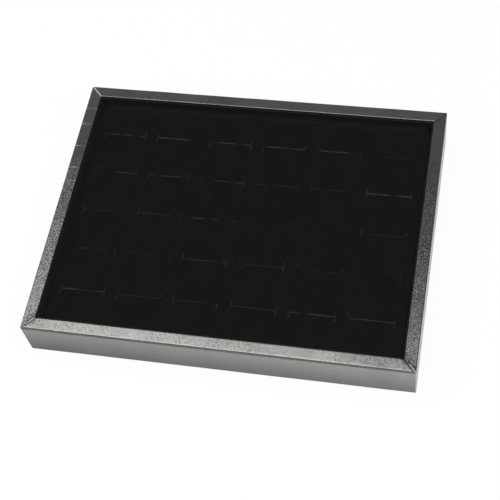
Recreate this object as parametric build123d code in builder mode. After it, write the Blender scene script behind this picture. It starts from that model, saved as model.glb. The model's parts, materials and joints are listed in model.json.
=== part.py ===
from build123d import *

import os

# A shallow ring display tray: four mitred rails wrapped in leatherette, lined with velvet,
# and a loose velvet pad whose cuts hold rings. Millimetres, +Z up, the origin on the
# resting surface under the middle of the tray, the long side along X.

# Tray, outside
tray_length = 230.0
tray_width = 178.0
tray_height = 28.0

# Rails and the leatherette that wraps them
rail_thickness = 6.0
rebate_width = 3.5
wrap_thickness = 0.75
wrap_edge_radius = 1.0
wrap_foot_radius = 0.5
turn_under_width = 12.0
seam_gap = 0.16

# Base and linings
base_thickness = 3.0
base_clearance = 0.25
floor_lining_thickness = 0.7
wall_lining_thickness = 1.2
wall_lining_drop = 1.0
wall_lining_edge_radius = 0.5
cover_thickness = 0.6
cover_inset = 1.5
cover_corner_radius = 2.0

# V nails that pull each mitre shut, in line up each corner
v_nail_leg = 5.0
v_nail_gauge = 0.5
v_nail_height = 7.0
v_nail_gap = 1.0
v_nail_setback = 3.0
v_nail_half_angle = 35.0
v_nail_count = 2

# Brads that hold the base in its rebate, of flattened wire with a chisel tip
brad_length = 14.0
brad_width = 1.25
brad_gauge = 1.0
brad_head_width = 2.0
brad_head_thickness = 0.5
brad_tip_length = 1.5
brad_tip_angle = 15.0
brad_end_distance = 25.0
long_side_brad_count = 4
short_side_brad_count = 3

# Ring pad
pad_clearance = 0.4
backing_thickness = 1.5
foam_thickness = 13.25
velvet_thickness = 0.75
velvet_edge_radius = 1.2
velvet_turn_in = 12.0

# Cuts that hold the rings, each a long slit with a short bar across either end
cut_gap = 0.5
slit_length = 26.7
end_bar_length = 6.6
column_pitch = 34.4
row_pitch = 28.5
column_margin = 5.0
row_margin = 15.0

# How far a cut runs past the face that it leaves
overrun = 2.0

# Heights, stacked up from the resting surface
wrap_bottom = cover_thickness
rail_bottom = wrap_bottom + wrap_thickness
base_top = rail_bottom + base_thickness
floor_top = base_top + floor_lining_thickness
backing_bottom = floor_top + velvet_thickness
foam_bottom = backing_bottom + backing_thickness
foam_top = foam_bottom + foam_thickness
pad_top = foam_top + velvet_thickness
rail_top = tray_height - wrap_thickness
wall_lining_top = tray_height - wall_lining_drop

# Distances in from the outside of the tray
rail_inner = wrap_thickness + rail_thickness
rim_width = rail_inner + wrap_thickness
rebate_start = rail_inner - rebate_width
base_edge = rebate_start + base_clearance
brad_line = (base_edge + rail_inner) / 2
lining_inner = rim_width + wall_lining_thickness
pad_edge = lining_inner + pad_clearance

# Plan sizes that follow
base_length = tray_length - 2 * base_edge
base_width = tray_width - 2 * base_edge
floor_length = tray_length - 2 * lining_inner
floor_width = tray_width - 2 * lining_inner
pad_length = tray_length - 2 * pad_edge
pad_width = tray_width - 2 * pad_edge
core_length = pad_length - 2 * velvet_thickness
core_width = pad_width - 2 * velvet_thickness
cut_columns = int((pad_length - slit_length - 2 * column_margin) / column_pitch) + 1
cut_rows = int((pad_width - end_bar_length - 2 * row_margin) / row_pitch) + 1

# Each side of the tray: its turn about Z from the front, its length, and the tray's size across it
sides = {
    "front": (0, tray_length, tray_width),
    "right": (90, tray_width, tray_length),
    "back": (180, tray_length, tray_width),
    "left": (270, tray_width, tray_length),
}


def section_plane(turn):
    """Upright plane across a side: X runs in towards the tray's middle and Y runs up."""
    return Plane.YZ.rotated((0, 0, turn))


def plan_plane(turn, height):
    """Level plane at a height: X runs along a side and Y runs in towards the middle."""
    return Plane.XY.offset(height).rotated((0, 0, turn))


def mitre_outline(length, across, depth):
    """Plan of a side with 45 degree ends, from the tray's outside to a depth in from it."""
    with BuildSketch() as outline:
        with BuildLine():
            Polyline(
                (-length / 2, -across / 2),
                (length / 2, -across / 2),
                (length / 2 - depth, -across / 2 + depth),
                (-length / 2 + depth, -across / 2 + depth),
                close=True,
            )
        make_face()
    return outline.sketch


def v_nail_plan():
    """Plan of the V nails: one V at each corner, its point towards the outside."""
    corner_x = tray_length / 2 - v_nail_setback
    corner_y = tray_width / 2 - v_nail_setback
    with BuildSketch() as plan:
        with Locations(
            Location((-corner_x, -corner_y), 45),
            Location((corner_x, -corner_y), 135),
            Location((corner_x, corner_y), 225),
            Location((-corner_x, corner_y), 315),
        ):
            for half_angle in (v_nail_half_angle, -v_nail_half_angle):
                with Locations(Location((0, 0), half_angle)):
                    Rectangle(v_nail_leg, v_nail_gauge, align=(Align.MIN, Align.CENTER))
    return plan.sketch


def brad_places(length, across, count):
    """Places of the brads along one side, on its plan plane, evenly spaced."""
    spacing = (length - 2 * brad_end_distance) / (count - 1)
    first = brad_end_distance - length / 2
    return [(first + spacing * number, brad_line - across / 2) for number in range(count)]


def ring_cuts():
    """Plan of every ring cut: a slit along X with a bar across either end."""
    with BuildSketch() as cuts:
        with GridLocations(column_pitch, row_pitch, cut_columns, cut_rows):
            Rectangle(slit_length, cut_gap)
            with GridLocations(slit_length, 0, 2, 1):
                Rectangle(cut_gap, end_bar_length)
    return cuts.sketch


def brads_on(side):
    """Number of brads on a side."""
    return long_side_brad_count if side in ("front", "back") else short_side_brad_count


os.makedirs("parts", exist_ok=True)
v_nail_rise = v_nail_count * (v_nail_height + v_nail_gap) - v_nail_gap
v_nail_shape = v_nail_plan()

for side, (turn, length, across) in sides.items():
    # Rail: a board on edge, rebated at its inner foot for the base and mitred at its ends
    with BuildPart() as rail:
        with BuildSketch(section_plane(turn)):
            with Locations((wrap_thickness - across / 2, rail_bottom)):
                Rectangle(rail_thickness, rail_top - rail_bottom, align=Align.MIN)
            with Locations((rebate_start - across / 2, rail_bottom)):
                Rectangle(rebate_width, base_thickness, align=Align.MIN, mode=Mode.SUBTRACT)
        extrude(amount=length / 2, both=True)
        mitre = plan_plane(turn, 0) * mitre_outline(length, across, turn_under_width)
        extrude(mitre, amount=tray_height, mode=Mode.INTERSECT)
        v_nail_pocket = Plane.XY.offset(base_top) * v_nail_shape
        extrude(v_nail_pocket, amount=v_nail_rise, mode=Mode.SUBTRACT)
        with BuildSketch(plan_plane(turn, rail_bottom)):
            with Locations(*brad_places(length, across, brads_on(side))):
                Rectangle(brad_width, brad_gauge)
        extrude(amount=brad_length, mode=Mode.SUBTRACT)
    rail.part.label = f"{side}_rail"
    export_step(rail.part, f"parts/{side}_rail.step")

    # Wrap: leatherette turned under the foot, up the outside, over the top and down the inside
    with BuildPart() as wrap:
        with BuildSketch(section_plane(turn)) as skin:
            with Locations((-across / 2, wrap_bottom)):
                Rectangle(rim_width, tray_height - wrap_bottom, align=Align.MIN)
            fillet(skin.vertices().group_by(Axis.Y)[-1], wrap_edge_radius)
            fillet(skin.vertices().group_by(Axis.Y)[0].sort_by(Axis.X)[0], wrap_foot_radius)
            with Locations((wrap_thickness - across / 2, rail_bottom)):
                Rectangle(
                    rail_thickness, rail_top - rail_bottom, align=Align.MIN, mode=Mode.SUBTRACT
                )
            with Locations((rail_inner - across / 2, wrap_bottom)):
                Rectangle(
                    wrap_thickness, base_top - wrap_bottom, align=Align.MIN, mode=Mode.SUBTRACT
                )
            with Locations((wrap_thickness - across / 2, wrap_bottom)):
                Rectangle(turn_under_width - wrap_thickness, wrap_thickness, align=Align.MIN)
        extrude(amount=length / 2, both=True)
        mitre = plan_plane(turn, 0) * mitre_outline(length - seam_gap, across, turn_under_width)
        extrude(mitre, amount=tray_height, mode=Mode.INTERSECT)
    wrap.part.label = f"{side}_wrap"
    export_step(wrap.part, f"parts/{side}_wrap.step")

    # Wall lining: velvet on card, the short sides butted between the long ones
    butted = side in ("left", "right")
    lining_length = length - 2 * (lining_inner if butted else rim_width)
    with BuildPart() as lining:
        with BuildSketch(plan_plane(turn, base_top)):
            with Locations((0, rim_width - across / 2)):
                Rectangle(
                    lining_length, wall_lining_thickness, align=(Align.CENTER, Align.MIN)
                )
        extrude(amount=wall_lining_top - base_top)
        top_edges = lining.faces().sort_by(Axis.Z)[-1].edges().sort_by(Edge.length)[-2:]
        fillet(top_edges.sort_by_distance((0, 0, 0))[0], wall_lining_edge_radius)
    lining.part.label = f"{side}_wall_lining"
    export_step(lining.part, f"parts/{side}_wall_lining.step")

# Base: a hardboard sheet in the rails' rebate, drilled and sunk for the brads
with BuildPart() as base_panel:
    with BuildSketch(Plane.XY.offset(rail_bottom)):
        Rectangle(base_length, base_width)
    extrude(amount=base_thickness)
    for side, (turn, length, across) in sides.items():
        places = brad_places(length, across, brads_on(side))
        with BuildSketch(plan_plane(turn, rail_bottom)):
            with Locations(*places):
                Rectangle(brad_width, brad_gauge)
        extrude(amount=base_thickness, mode=Mode.SUBTRACT)
        with BuildSketch(plan_plane(turn, rail_bottom)):
            with Locations(*places):
                Rectangle(brad_head_width, brad_gauge)
        extrude(amount=brad_head_thickness, mode=Mode.SUBTRACT)
base_panel.part.label = "base_panel"
export_step(base_panel.part, "parts/base_panel.step")

# Brads: a narrow head along the rail, a flat shank and a short tapered tip
with BuildPart() as base_brads:
    for side, (turn, length, across) in sides.items():
        places = brad_places(length, across, brads_on(side))
        with BuildSketch(plan_plane(turn, rail_bottom)):
            with Locations(*places):
                Rectangle(brad_head_width, brad_gauge)
        extrude(amount=brad_head_thickness)
        with BuildSketch(plan_plane(turn, rail_bottom)):
            with Locations(*places):
                Rectangle(brad_width, brad_gauge)
        extrude(amount=brad_length - brad_tip_length)
        with BuildSketch(plan_plane(turn, rail_bottom + brad_length - brad_tip_length)):
            with Locations(*places):
                Rectangle(brad_width, brad_gauge)
        extrude(amount=brad_tip_length, taper=brad_tip_angle)
base_brads.part.label = "base_brads"
export_step(base_brads.part, "parts/base_brads.step")

# V nails: two in line up each corner, driven in from the rebate's ledge
with BuildPart() as corner_v_nails:
    for number in range(v_nail_count):
        foot = base_top + number * (v_nail_height + v_nail_gap)
        extrude(Plane.XY.offset(foot) * v_nail_shape, amount=v_nail_height)
corner_v_nails.part.label = "corner_v_nails"
export_step(corner_v_nails.part, "parts/corner_v_nails.step")

# Floor lining: velvet laid on the base between the wall linings
with BuildPart() as floor_lining:
    with BuildSketch(Plane.XY.offset(base_top)):
        Rectangle(floor_length, floor_width)
    extrude(amount=floor_lining_thickness)
floor_lining.part.label = "floor_lining"
export_step(floor_lining.part, "parts/floor_lining.step")

# Bottom cover: a felt sheet over the turned-under leatherette, pressed up to the base inside it
with BuildPart() as bottom_cover:
    with BuildSketch():
        RectangleRounded(
            tray_length - 2 * cover_inset, tray_width - 2 * cover_inset, cover_corner_radius
        )
    extrude(amount=cover_thickness)
    with BuildSketch():
        Rectangle(tray_length - 2 * turn_under_width, tray_width - 2 * turn_under_width)
    extrude(amount=rail_bottom)
    with BuildSketch():
        Rectangle(
            tray_length - 2 * (turn_under_width + cover_thickness),
            tray_width - 2 * (turn_under_width + cover_thickness),
        )
    extrude(amount=rail_bottom - cover_thickness, mode=Mode.SUBTRACT)
bottom_cover.part.label = "bottom_cover"
export_step(bottom_cover.part, "parts/bottom_cover.step")

# Pad backing: greyboard under the foam
with BuildPart() as pad_backing_board:
    with BuildSketch(Plane.XY.offset(backing_bottom)):
        Rectangle(core_length, core_width)
    extrude(amount=backing_thickness)
pad_backing_board.part.label = "pad_backing_board"
export_step(pad_backing_board.part, "parts/pad_backing_board.step")

ring_cut_shape = ring_cuts()

# Pad foam: a block cut right through, so that its lips part round a ring
with BuildPart() as pad_foam:
    with BuildSketch(Plane.XY.offset(foam_bottom)):
        Rectangle(core_length, core_width)
    extrude(amount=foam_thickness)
    through = Plane.XY.offset(foam_bottom) * ring_cut_shape
    extrude(through, amount=foam_thickness, mode=Mode.SUBTRACT)
pad_foam.part.label = "pad_foam"
export_step(pad_foam.part, "parts/pad_foam.step")

# Pad velvet: over the top, down the sides and turned in under the backing
with BuildPart() as pad_velvet:
    with BuildSketch(Plane.XY.offset(floor_top)):
        RectangleRounded(pad_length, pad_width, velvet_edge_radius)
    extrude(amount=pad_top - floor_top)
    fillet(pad_velvet.faces().sort_by(Axis.Z)[-1].edges(), velvet_edge_radius)
    with BuildSketch(Plane.XY.offset(backing_bottom)):
        Rectangle(core_length, core_width)
    extrude(amount=foam_top - backing_bottom, mode=Mode.SUBTRACT)
    with BuildSketch(Plane.XY.offset(floor_top)):
        Rectangle(pad_length - 2 * velvet_turn_in, pad_width - 2 * velvet_turn_in)
    extrude(amount=velvet_thickness, mode=Mode.SUBTRACT)
    through = Plane.XY.offset(foam_top) * ring_cut_shape
    extrude(through, amount=velvet_thickness + overrun, mode=Mode.SUBTRACT)
pad_velvet.part.label = "pad_velvet"
export_step(pad_velvet.part, "parts/pad_velvet.step")
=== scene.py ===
"""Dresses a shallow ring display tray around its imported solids.

Four mitred rails wrapped in pearly leatherette hold a loose velvet pad whose cuts take finger rings.
Metres throughout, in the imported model's own frame: +X along the tray's long side, +Y from the front
rail to the back rail, +Z up, and the resting surface at zero.
"""

import json
import logging
import math
from dataclasses import dataclass, field
from enum import Enum
from functools import cached_property
from typing import Callable, Iterator, Mapping, Sequence

import bpy
import numpy as np
from mathutils import Matrix, Vector

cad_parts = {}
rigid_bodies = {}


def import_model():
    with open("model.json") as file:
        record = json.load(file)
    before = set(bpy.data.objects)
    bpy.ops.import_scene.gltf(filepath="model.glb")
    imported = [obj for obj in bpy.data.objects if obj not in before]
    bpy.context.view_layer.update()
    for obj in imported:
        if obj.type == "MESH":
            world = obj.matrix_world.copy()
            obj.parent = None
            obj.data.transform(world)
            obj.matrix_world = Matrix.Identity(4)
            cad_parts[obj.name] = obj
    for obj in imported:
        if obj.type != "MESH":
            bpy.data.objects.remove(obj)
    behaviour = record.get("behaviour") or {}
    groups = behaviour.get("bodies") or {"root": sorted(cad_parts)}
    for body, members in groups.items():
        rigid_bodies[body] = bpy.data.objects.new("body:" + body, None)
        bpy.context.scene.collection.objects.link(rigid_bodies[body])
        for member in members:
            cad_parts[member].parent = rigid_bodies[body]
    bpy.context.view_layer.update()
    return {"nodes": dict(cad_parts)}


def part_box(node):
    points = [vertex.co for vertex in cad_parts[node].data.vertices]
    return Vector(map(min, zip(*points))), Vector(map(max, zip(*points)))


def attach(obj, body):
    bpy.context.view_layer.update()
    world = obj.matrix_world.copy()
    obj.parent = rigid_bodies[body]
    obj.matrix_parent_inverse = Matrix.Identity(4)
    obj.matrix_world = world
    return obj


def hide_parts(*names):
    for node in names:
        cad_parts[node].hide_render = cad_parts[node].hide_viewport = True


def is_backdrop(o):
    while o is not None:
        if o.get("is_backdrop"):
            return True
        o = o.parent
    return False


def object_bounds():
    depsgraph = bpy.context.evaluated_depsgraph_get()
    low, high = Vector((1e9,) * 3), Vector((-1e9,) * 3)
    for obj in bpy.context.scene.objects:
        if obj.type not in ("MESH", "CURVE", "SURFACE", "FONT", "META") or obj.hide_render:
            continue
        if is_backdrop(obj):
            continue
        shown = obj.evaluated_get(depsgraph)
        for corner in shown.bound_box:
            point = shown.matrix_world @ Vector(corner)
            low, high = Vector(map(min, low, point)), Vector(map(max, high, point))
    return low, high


Array = np.ndarray
Colour = tuple[float, float, float]
Material = bpy.types.Material
Piece = bpy.types.Object
Socket = bpy.types.NodeSocket
Sockets = Mapping[str, Socket]

log = logging.getLogger("ring_tray")

MM = 0.001
SHARP_ANGLE = math.radians(38.0)
# Random values each way in the table that the soft noise reads.
NOISE_TABLE = 256
# Decimals of a metre to which the places of grid lines are rounded.
LINE_DECIMALS = 7
# Added to a place on the tray, so that its UV coordinates are above zero.
UV_MIDDLE = 0.5
# From one side's strip to the next in the UV map, so that no two carry the same grain.
UV_STRIP = 0.1


class Body(str, Enum):
    """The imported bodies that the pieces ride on."""

    TRAY = "tray"
    PAD = "ring_pad"


class Corner(Enum):
    """The tray's four mitred corners, each at the low end of the side in the same place of Side."""

    FRONT_LEFT = "front_left"
    FRONT_RIGHT = "front_right"
    BACK_RIGHT = "back_right"
    BACK_LEFT = "back_left"


class Side(Enum):
    """The tray's four sides, each with its turn about Z from the front one, in degrees."""

    FRONT = 0
    RIGHT = 90
    BACK = 180
    LEFT = 270

    @property
    def label(self) -> str:
        """The side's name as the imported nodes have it."""
        return self.name.lower()

    @property
    def ends(self) -> tuple[Corner, Corner]:
        """The corners at the low and the high end of the side's own length."""
        order = tuple(Corner)
        first = self.value // 90
        return order[first], order[(first + 1) % len(order)]

    def placed(self, along: Array, inward: Array, height: Array, across: float) -> Array:
        """Turns points of the side's own frame into the tray's frame.

        Args:
            along: Distance along the side from its middle.
            inward: Distance in from the tray's outside.
            height: Height above the resting surface.
            across: The tray's size across this side.

        Returns:
            The points, with their three coordinates last.
        """
        turn = math.radians(self.value)
        x, y = along, inward - across / 2
        placed_x = x * math.cos(turn) - y * math.sin(turn)
        placed_y = x * math.sin(turn) + y * math.cos(turn)
        return np.stack(np.broadcast_arrays(placed_x, placed_y, height), axis=-1)


def eased(value: Array) -> Array:
    """Clamps to 0 to 1 and eases both ends, as 3v^2 - 2v^3."""
    v = np.clip(value, 0.0, 1.0)
    return v * v * (3.0 - 2.0 * v)


def bell(value: Array, width: float, power: int = 2) -> Array:
    """1 at zero, falling off both ways as e to the minus (value / width) to the power."""
    return np.exp(-((value / width) ** power))


def soft_noise(first: Array, second: Array, cell: float, seed: int) -> Array:
    """Smooth random values over two coordinates.

    A seeded square table is read once a cell each way, and an eased step joins neighbouring values.

    Args:
        first: First coordinate.
        second: Second coordinate.
        cell: Distance from one random value to the next.
        seed: Seed of the table.

    Returns:
        Values from -1 to 1 in the shape of the coordinates.
    """
    table = np.random.default_rng(seed).uniform(-1.0, 1.0, (NOISE_TABLE, NOISE_TABLE))
    a, b = np.broadcast_arrays(first / cell, second / cell)
    low_a, low_b = np.floor(a).astype(int), np.floor(b).astype(int)
    share_a, share_b = eased(a - low_a), eased(b - low_b)

    def read(step_a: int, step_b: int) -> Array:
        """Reads the table at a whole step from the low corner."""
        return table[(low_a + step_a) % NOISE_TABLE, (low_b + step_b) % NOISE_TABLE]

    near = read(0, 0) * (1 - share_b) + read(0, 1) * share_b
    far = read(1, 0) * (1 - share_b) + read(1, 1) * share_b
    return near * (1 - share_a) + far * share_a


def soft_share(first: Array, second: Array, cell: float, seed: int) -> Array:
    """The soft noise, carried to 0 to 1."""
    return soft_noise(first, second, cell, seed) * 0.5 + 0.5


def graded_lines(low: float, high: float, step: float, close: Sequence[float] = ()) -> Array:
    """Grid lines that pass through given places, with even ones between them.

    Args:
        low: First line.
        high: Last line.
        step: Largest gap between two lines.
        close: Places that have a line of their own.

    Returns:
        The lines in rising order.
    """
    asked = np.asarray(close, float)
    inside = asked[(asked > low) & (asked < high)]
    anchors = np.unique(np.round(np.concatenate(([low, high], inside)), LINE_DECIMALS))
    runs = [
        np.linspace(a, b, max(1, math.ceil((b - a) / step)), endpoint=False)
        for a, b in zip(anchors[:-1], anchors[1:])
    ]
    return np.append(np.concatenate(runs), anchors[-1])


@dataclass(frozen=True)
class Profile:
    """A section path: its points as (inward, height), and the outward normal at each."""

    points: Array
    normals: Array

    @property
    def run(self) -> Array:
        """Length along the path at each point."""
        steps = np.linalg.norm(np.diff(self.points, axis=0), axis=1)
        return np.concatenate(([0.0], np.cumsum(steps)))


def wrapped_profile(
    corners: Sequence[tuple[float, float]],
    radii: Sequence[float],
    counts: Sequence[int],
    arc_steps: int,
) -> Profile:
    """Path over square corners, each rounded outwards by a quarter circle.

    A run's outward normal lies a quarter turn clockwise of its direction. An arc's point is its
    centre plus the radius times the normal, which turns evenly from one run's to the next one's.

    Args:
        corners: The path's ends and its sharp corners, as (inward, height).
        radii: Radius at each inner corner.
        counts: Number of steps along each run.
        arc_steps: Number of steps round each corner.

    Returns:
        The path.
    """
    sharp = np.asarray(corners, float)
    ways = np.diff(sharp, axis=0)
    ways /= np.linalg.norm(ways, axis=1)[:, None]
    outward = np.stack([ways[:, 1], -ways[:, 0]], axis=1)
    starts = sharp[:-1] + ways * np.concatenate(([0.0], radii))[:, None]
    stops = sharp[1:] - ways * np.concatenate((radii, [0.0]))[:, None]
    turn = np.linspace(0.0, math.pi / 2, arc_steps + 1)[1:-1, None]
    points, normals = [], []
    for number, count in enumerate(counts):
        share = np.linspace(0.0, 1.0, count + 1)[:, None]
        points.append(starts[number] + (stops[number] - starts[number]) * share)
        normals.append(np.repeat(outward[number : number + 1], count + 1, axis=0))
        if number < len(radii):
            normal = outward[number] * np.cos(turn) + outward[number + 1] * np.sin(turn)
            centre = sharp[number + 1] - radii[number] * (outward[number] + outward[number + 1])
            points.append(centre + radii[number] * normal)
            normals.append(normal)
    return Profile(np.concatenate(points), np.concatenate(normals))


def rounded_plan(x_lines: Array, y_lines: Array, radius: float) -> tuple[Array, Array]:
    """Grid points of a rectangle whose corners are rounded.

    In each corner square the point (u, v) goes to (u * sqrt(1 - v^2 / 2), v * sqrt(1 - u^2 / 2)),
    which carries the square's outer sides onto a quarter circle. Elsewhere the grid is straight.

    Args:
        x_lines: Grid lines across X, even about zero.
        y_lines: Grid lines across Y, even about zero.
        radius: Radius of the corners.

    Returns:
        The X and the Y of each point, with rows along Y.
    """
    x, y = np.meshgrid(x_lines, y_lines)
    core_x = np.clip(x, x_lines[0] + radius, x_lines[-1] - radius)
    core_y = np.clip(y, y_lines[0] + radius, y_lines[-1] - radius)
    u, v = (x - core_x) / radius, (y - core_y) / radius
    straight = (u == 0) | (v == 0)
    round_x = core_x + radius * u * np.sqrt(1 - v * v / 2)
    round_y = core_y + radius * v * np.sqrt(1 - u * u / 2)
    return np.where(straight, x, round_x), np.where(straight, y, round_y)


def box_distance(off_x: Array, off_y: Array, half_x: float, half_y: float) -> Array:
    """Distance from a rectangle's edge, below zero inside it.

    Outside it is the distance to the nearest point of the rectangle, and inside it to the nearest
    side.

    Args:
        off_x: Distance from the rectangle's middle along X, never below zero.
        off_y: The same along Y.
        half_x: Half the rectangle's size along X.
        half_y: Half its size along Y.

    Returns:
        The distance at each point.
    """
    out_x, out_y = off_x - half_x, off_y - half_y
    outside = np.hypot(np.maximum(out_x, 0.0), np.maximum(out_y, 0.0))
    return outside + np.minimum(np.maximum(out_x, out_y), 0.0)


def grid_faces(rows: int, columns: int, keep: Array | None = None) -> Array:
    """Four-cornered faces of a grid of points numbered row by row.

    Each face runs along its row first, so its normal is the column way crossed with the row way.

    Args:
        rows: Number of rows of points.
        columns: Number of points in a row.
        keep: True for each cell that has a face, or None for all.

    Returns:
        Point numbers, four to a face.
    """
    numbers = np.arange(rows * columns).reshape(rows, columns)
    corners = (numbers[:-1, :-1], numbers[:-1, 1:], numbers[1:, 1:], numbers[1:, :-1])
    faces = np.stack(corners, axis=-1)
    return faces.reshape(-1, 4) if keep is None else faces[keep]


@dataclass
class Skin:
    """A sheet with a thickness: one face layout carried by an outer and an inner layer of points.

    Attributes:
        outer: The outer layer's points.
        inner: The inner layer's points, in the same order.
        faces: Point numbers of the outer layer's faces, four to a face.
        uv: UV coordinates of each point of a layer.
        marks: Named values at each point of a layer, which the finish reads.
    """

    outer: Array
    inner: Array
    faces: Array
    uv: Array
    marks: dict[str, Array] = field(default_factory=dict)

    @classmethod
    def gridded(
        cls,
        outer: Array,
        inner: Array,
        uv: Array,
        marks: Mapping[str, Array] | None = None,
        keep: Array | None = None,
    ) -> "Skin":
        """Makes a sheet from grids of points.

        Args:
            outer: The outer layer's points, by row and column.
            inner: The inner layer's points.
            uv: Their UV coordinates.
            marks: Named values at each point.
            keep: True for each cell that has a face, or None for all.

        Returns:
            The sheet.
        """
        faces = grid_faces(*outer.shape[:2], keep)
        flat_marks = {name: values.ravel() for name, values in (marks or {}).items()}
        return cls(outer.reshape(-1, 3), inner.reshape(-1, 3), faces, uv.reshape(-1, 2), flat_marks)

    def closed(self) -> tuple[Array, Array]:
        """Joins the layers into one closed surface.

        The inner layer's faces are reversed, and each edge that only one face has, at the rim and
        round every hole, gets a face from layer to layer.

        Returns:
            The points of both layers, and the faces.
        """
        count = len(self.outer)
        starts = self.faces.ravel()
        stops = np.roll(self.faces, -1, axis=1).ravel()
        ways = starts.astype(np.int64) * count + stops
        back = stops.astype(np.int64) * count + starts
        open_edge = ~np.isin(ways, back)
        a, b = starts[open_edge], stops[open_edge]
        rims = np.stack([b, a, a + count, b + count], axis=1)
        faces = np.concatenate([self.faces, self.faces[:, ::-1] + count, rims])
        return np.concatenate([self.outer, self.inner]), faces

    def piece(self, name: str) -> Piece:
        """Makes the closed surface into an object with its UV map and point values.

        Args:
            name: The piece's name.

        Returns:
            The object, at the origin.
        """
        points, faces = self.closed()
        used, numbers = np.unique(faces, return_inverse=True)
        faces = numbers.reshape(faces.shape)
        mesh = bpy.data.meshes.new(name)
        mesh.vertices.add(len(used))
        mesh.vertices.foreach_set("co", points[used].astype(np.float32).ravel())
        mesh.loops.add(faces.size)
        mesh.loops.foreach_set("vertex_index", faces.astype(np.int32).ravel())
        mesh.polygons.add(len(faces))
        starts = np.arange(0, faces.size, faces.shape[1], dtype=np.int32)
        mesh.polygons.foreach_set("loop_start", starts)
        mesh.update(calc_edges=True)
        mesh.polygons.foreach_set("use_smooth", np.ones(len(faces), bool))
        mesh.set_sharp_from_angle(angle=SHARP_ANGLE)
        uv = np.concatenate([self.uv, self.uv])[used][faces.ravel()]
        mesh.uv_layers.new(name="surface").data.foreach_set("uv", uv.astype(np.float32).ravel())
        for mark, values in self.marks.items():
            both = np.concatenate([values, values])[used].astype(np.float32)
            mesh.attributes.new(mark, "FLOAT", "POINT").data.foreach_set("value", both)
        piece = bpy.data.objects.new(name, mesh)
        bpy.context.scene.collection.objects.link(piece)
        return piece


def as_rgba(colour: object) -> object:
    """Gives a plain colour its fourth number and leaves a socket as it is."""
    return (*colour, 1.0) if isinstance(colour, tuple) else colour


class Wiring:
    """Adds nodes to one tree and joins them."""

    def __init__(self, tree: bpy.types.NodeTree) -> None:
        """Keeps the tree."""
        self.tree = tree

    def add(self, kind: str, inputs: Mapping | None = None, **settings: object) -> bpy.types.Node:
        """Adds a node.

        Args:
            kind: Blender's name for the node.
            inputs: A value or a socket to join, for each input that is set.
            **settings: The node's own properties, which are set first.

        Returns:
            The node.
        """
        node = self.tree.nodes.new(kind)
        for name, value in settings.items():
            setattr(node, name, value)
        for name, value in (inputs or {}).items():
            if isinstance(value, Socket):
                self.tree.links.new(value, node.inputs[name])
            else:
                node.inputs[name].default_value = value
        return node

    def maths(self, operation: str, *terms: object) -> Socket:
        """Joins values by one operation and returns the result."""
        return self.add("ShaderNodeMath", dict(enumerate(terms)), operation=operation).outputs["Value"]

    def vectors(self, operation: str, inputs: Mapping) -> Socket:
        """Joins vectors by one operation and returns the result."""
        return self.add("ShaderNodeVectorMath", inputs, operation=operation).outputs["Vector"]

    def weighed(self, first: Socket, second: Socket, share: float) -> Socket:
        """Adds two values, the second one by its share and the first one by the rest."""
        parts = self.maths("MULTIPLY", first, 1.0 - share), self.maths("MULTIPLY", second, share)
        return self.maths("ADD", *parts)

    def noise(self, vector: Socket, scale: object, detail: float, rough: float = 0.5) -> Socket:
        """Adds a noise over a vector and returns its value."""
        inputs = {"Vector": vector, "Scale": scale, "Detail": detail, "Roughness": rough}
        return self.add("ShaderNodeTexNoise", inputs).outputs["Fac"]

    def ranged(self, value: Socket, low: float, high: float, to_low: float, to_high: float) -> Socket:
        """Carries a value smoothly from one range to another and returns it."""
        inputs = {"Value": value, "From Min": low, "From Max": high, "To Min": to_low, "To Max": to_high}
        return self.add("ShaderNodeMapRange", inputs, interpolation_type="SMOOTHSTEP").outputs["Result"]

    def mixed(self, share: object, first: object, second: object) -> Socket:
        """Mixes two colours by a share and returns the result."""
        inputs = {0: share, 6: as_rgba(first), 7: as_rgba(second)}
        return self.add("ShaderNodeMix", inputs, data_type="RGBA").outputs[2]

    def channel(self, colour: Socket, name: str) -> Socket:
        """Reads one channel of a colour."""
        return self.add("ShaderNodeSeparateColor", {0: colour}).outputs[name]

    def bumped(self, height: Socket, distance: float, strength: object, **under: Socket) -> Socket:
        """Raises the surface by a height.

        Args:
            height: The height, from 0 to 1.
            distance: How high 1 is.
            strength: How plain it is.
            **under: Normal, where it lies over another one.

        Returns:
            The normal.
        """
        inputs = {"Height": height, "Distance": distance, "Strength": strength, **under}
        return self.add("ShaderNodeBump", inputs).outputs["Normal"]

    def place(self) -> Socket:
        """Reads the place on the piece, in metres."""
        return self.add("ShaderNodeTexCoord").outputs["Object"]

    def mark(self, name: str) -> Socket:
        """Reads a value that the mesh holds at its points."""
        return self.add("ShaderNodeAttribute", attribute_name=name).outputs["Fac"]

    def close(self, shader: Socket) -> None:
        """Ends a material in its output node."""
        self.add("ShaderNodeOutputMaterial", {"Surface": shader})


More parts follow.
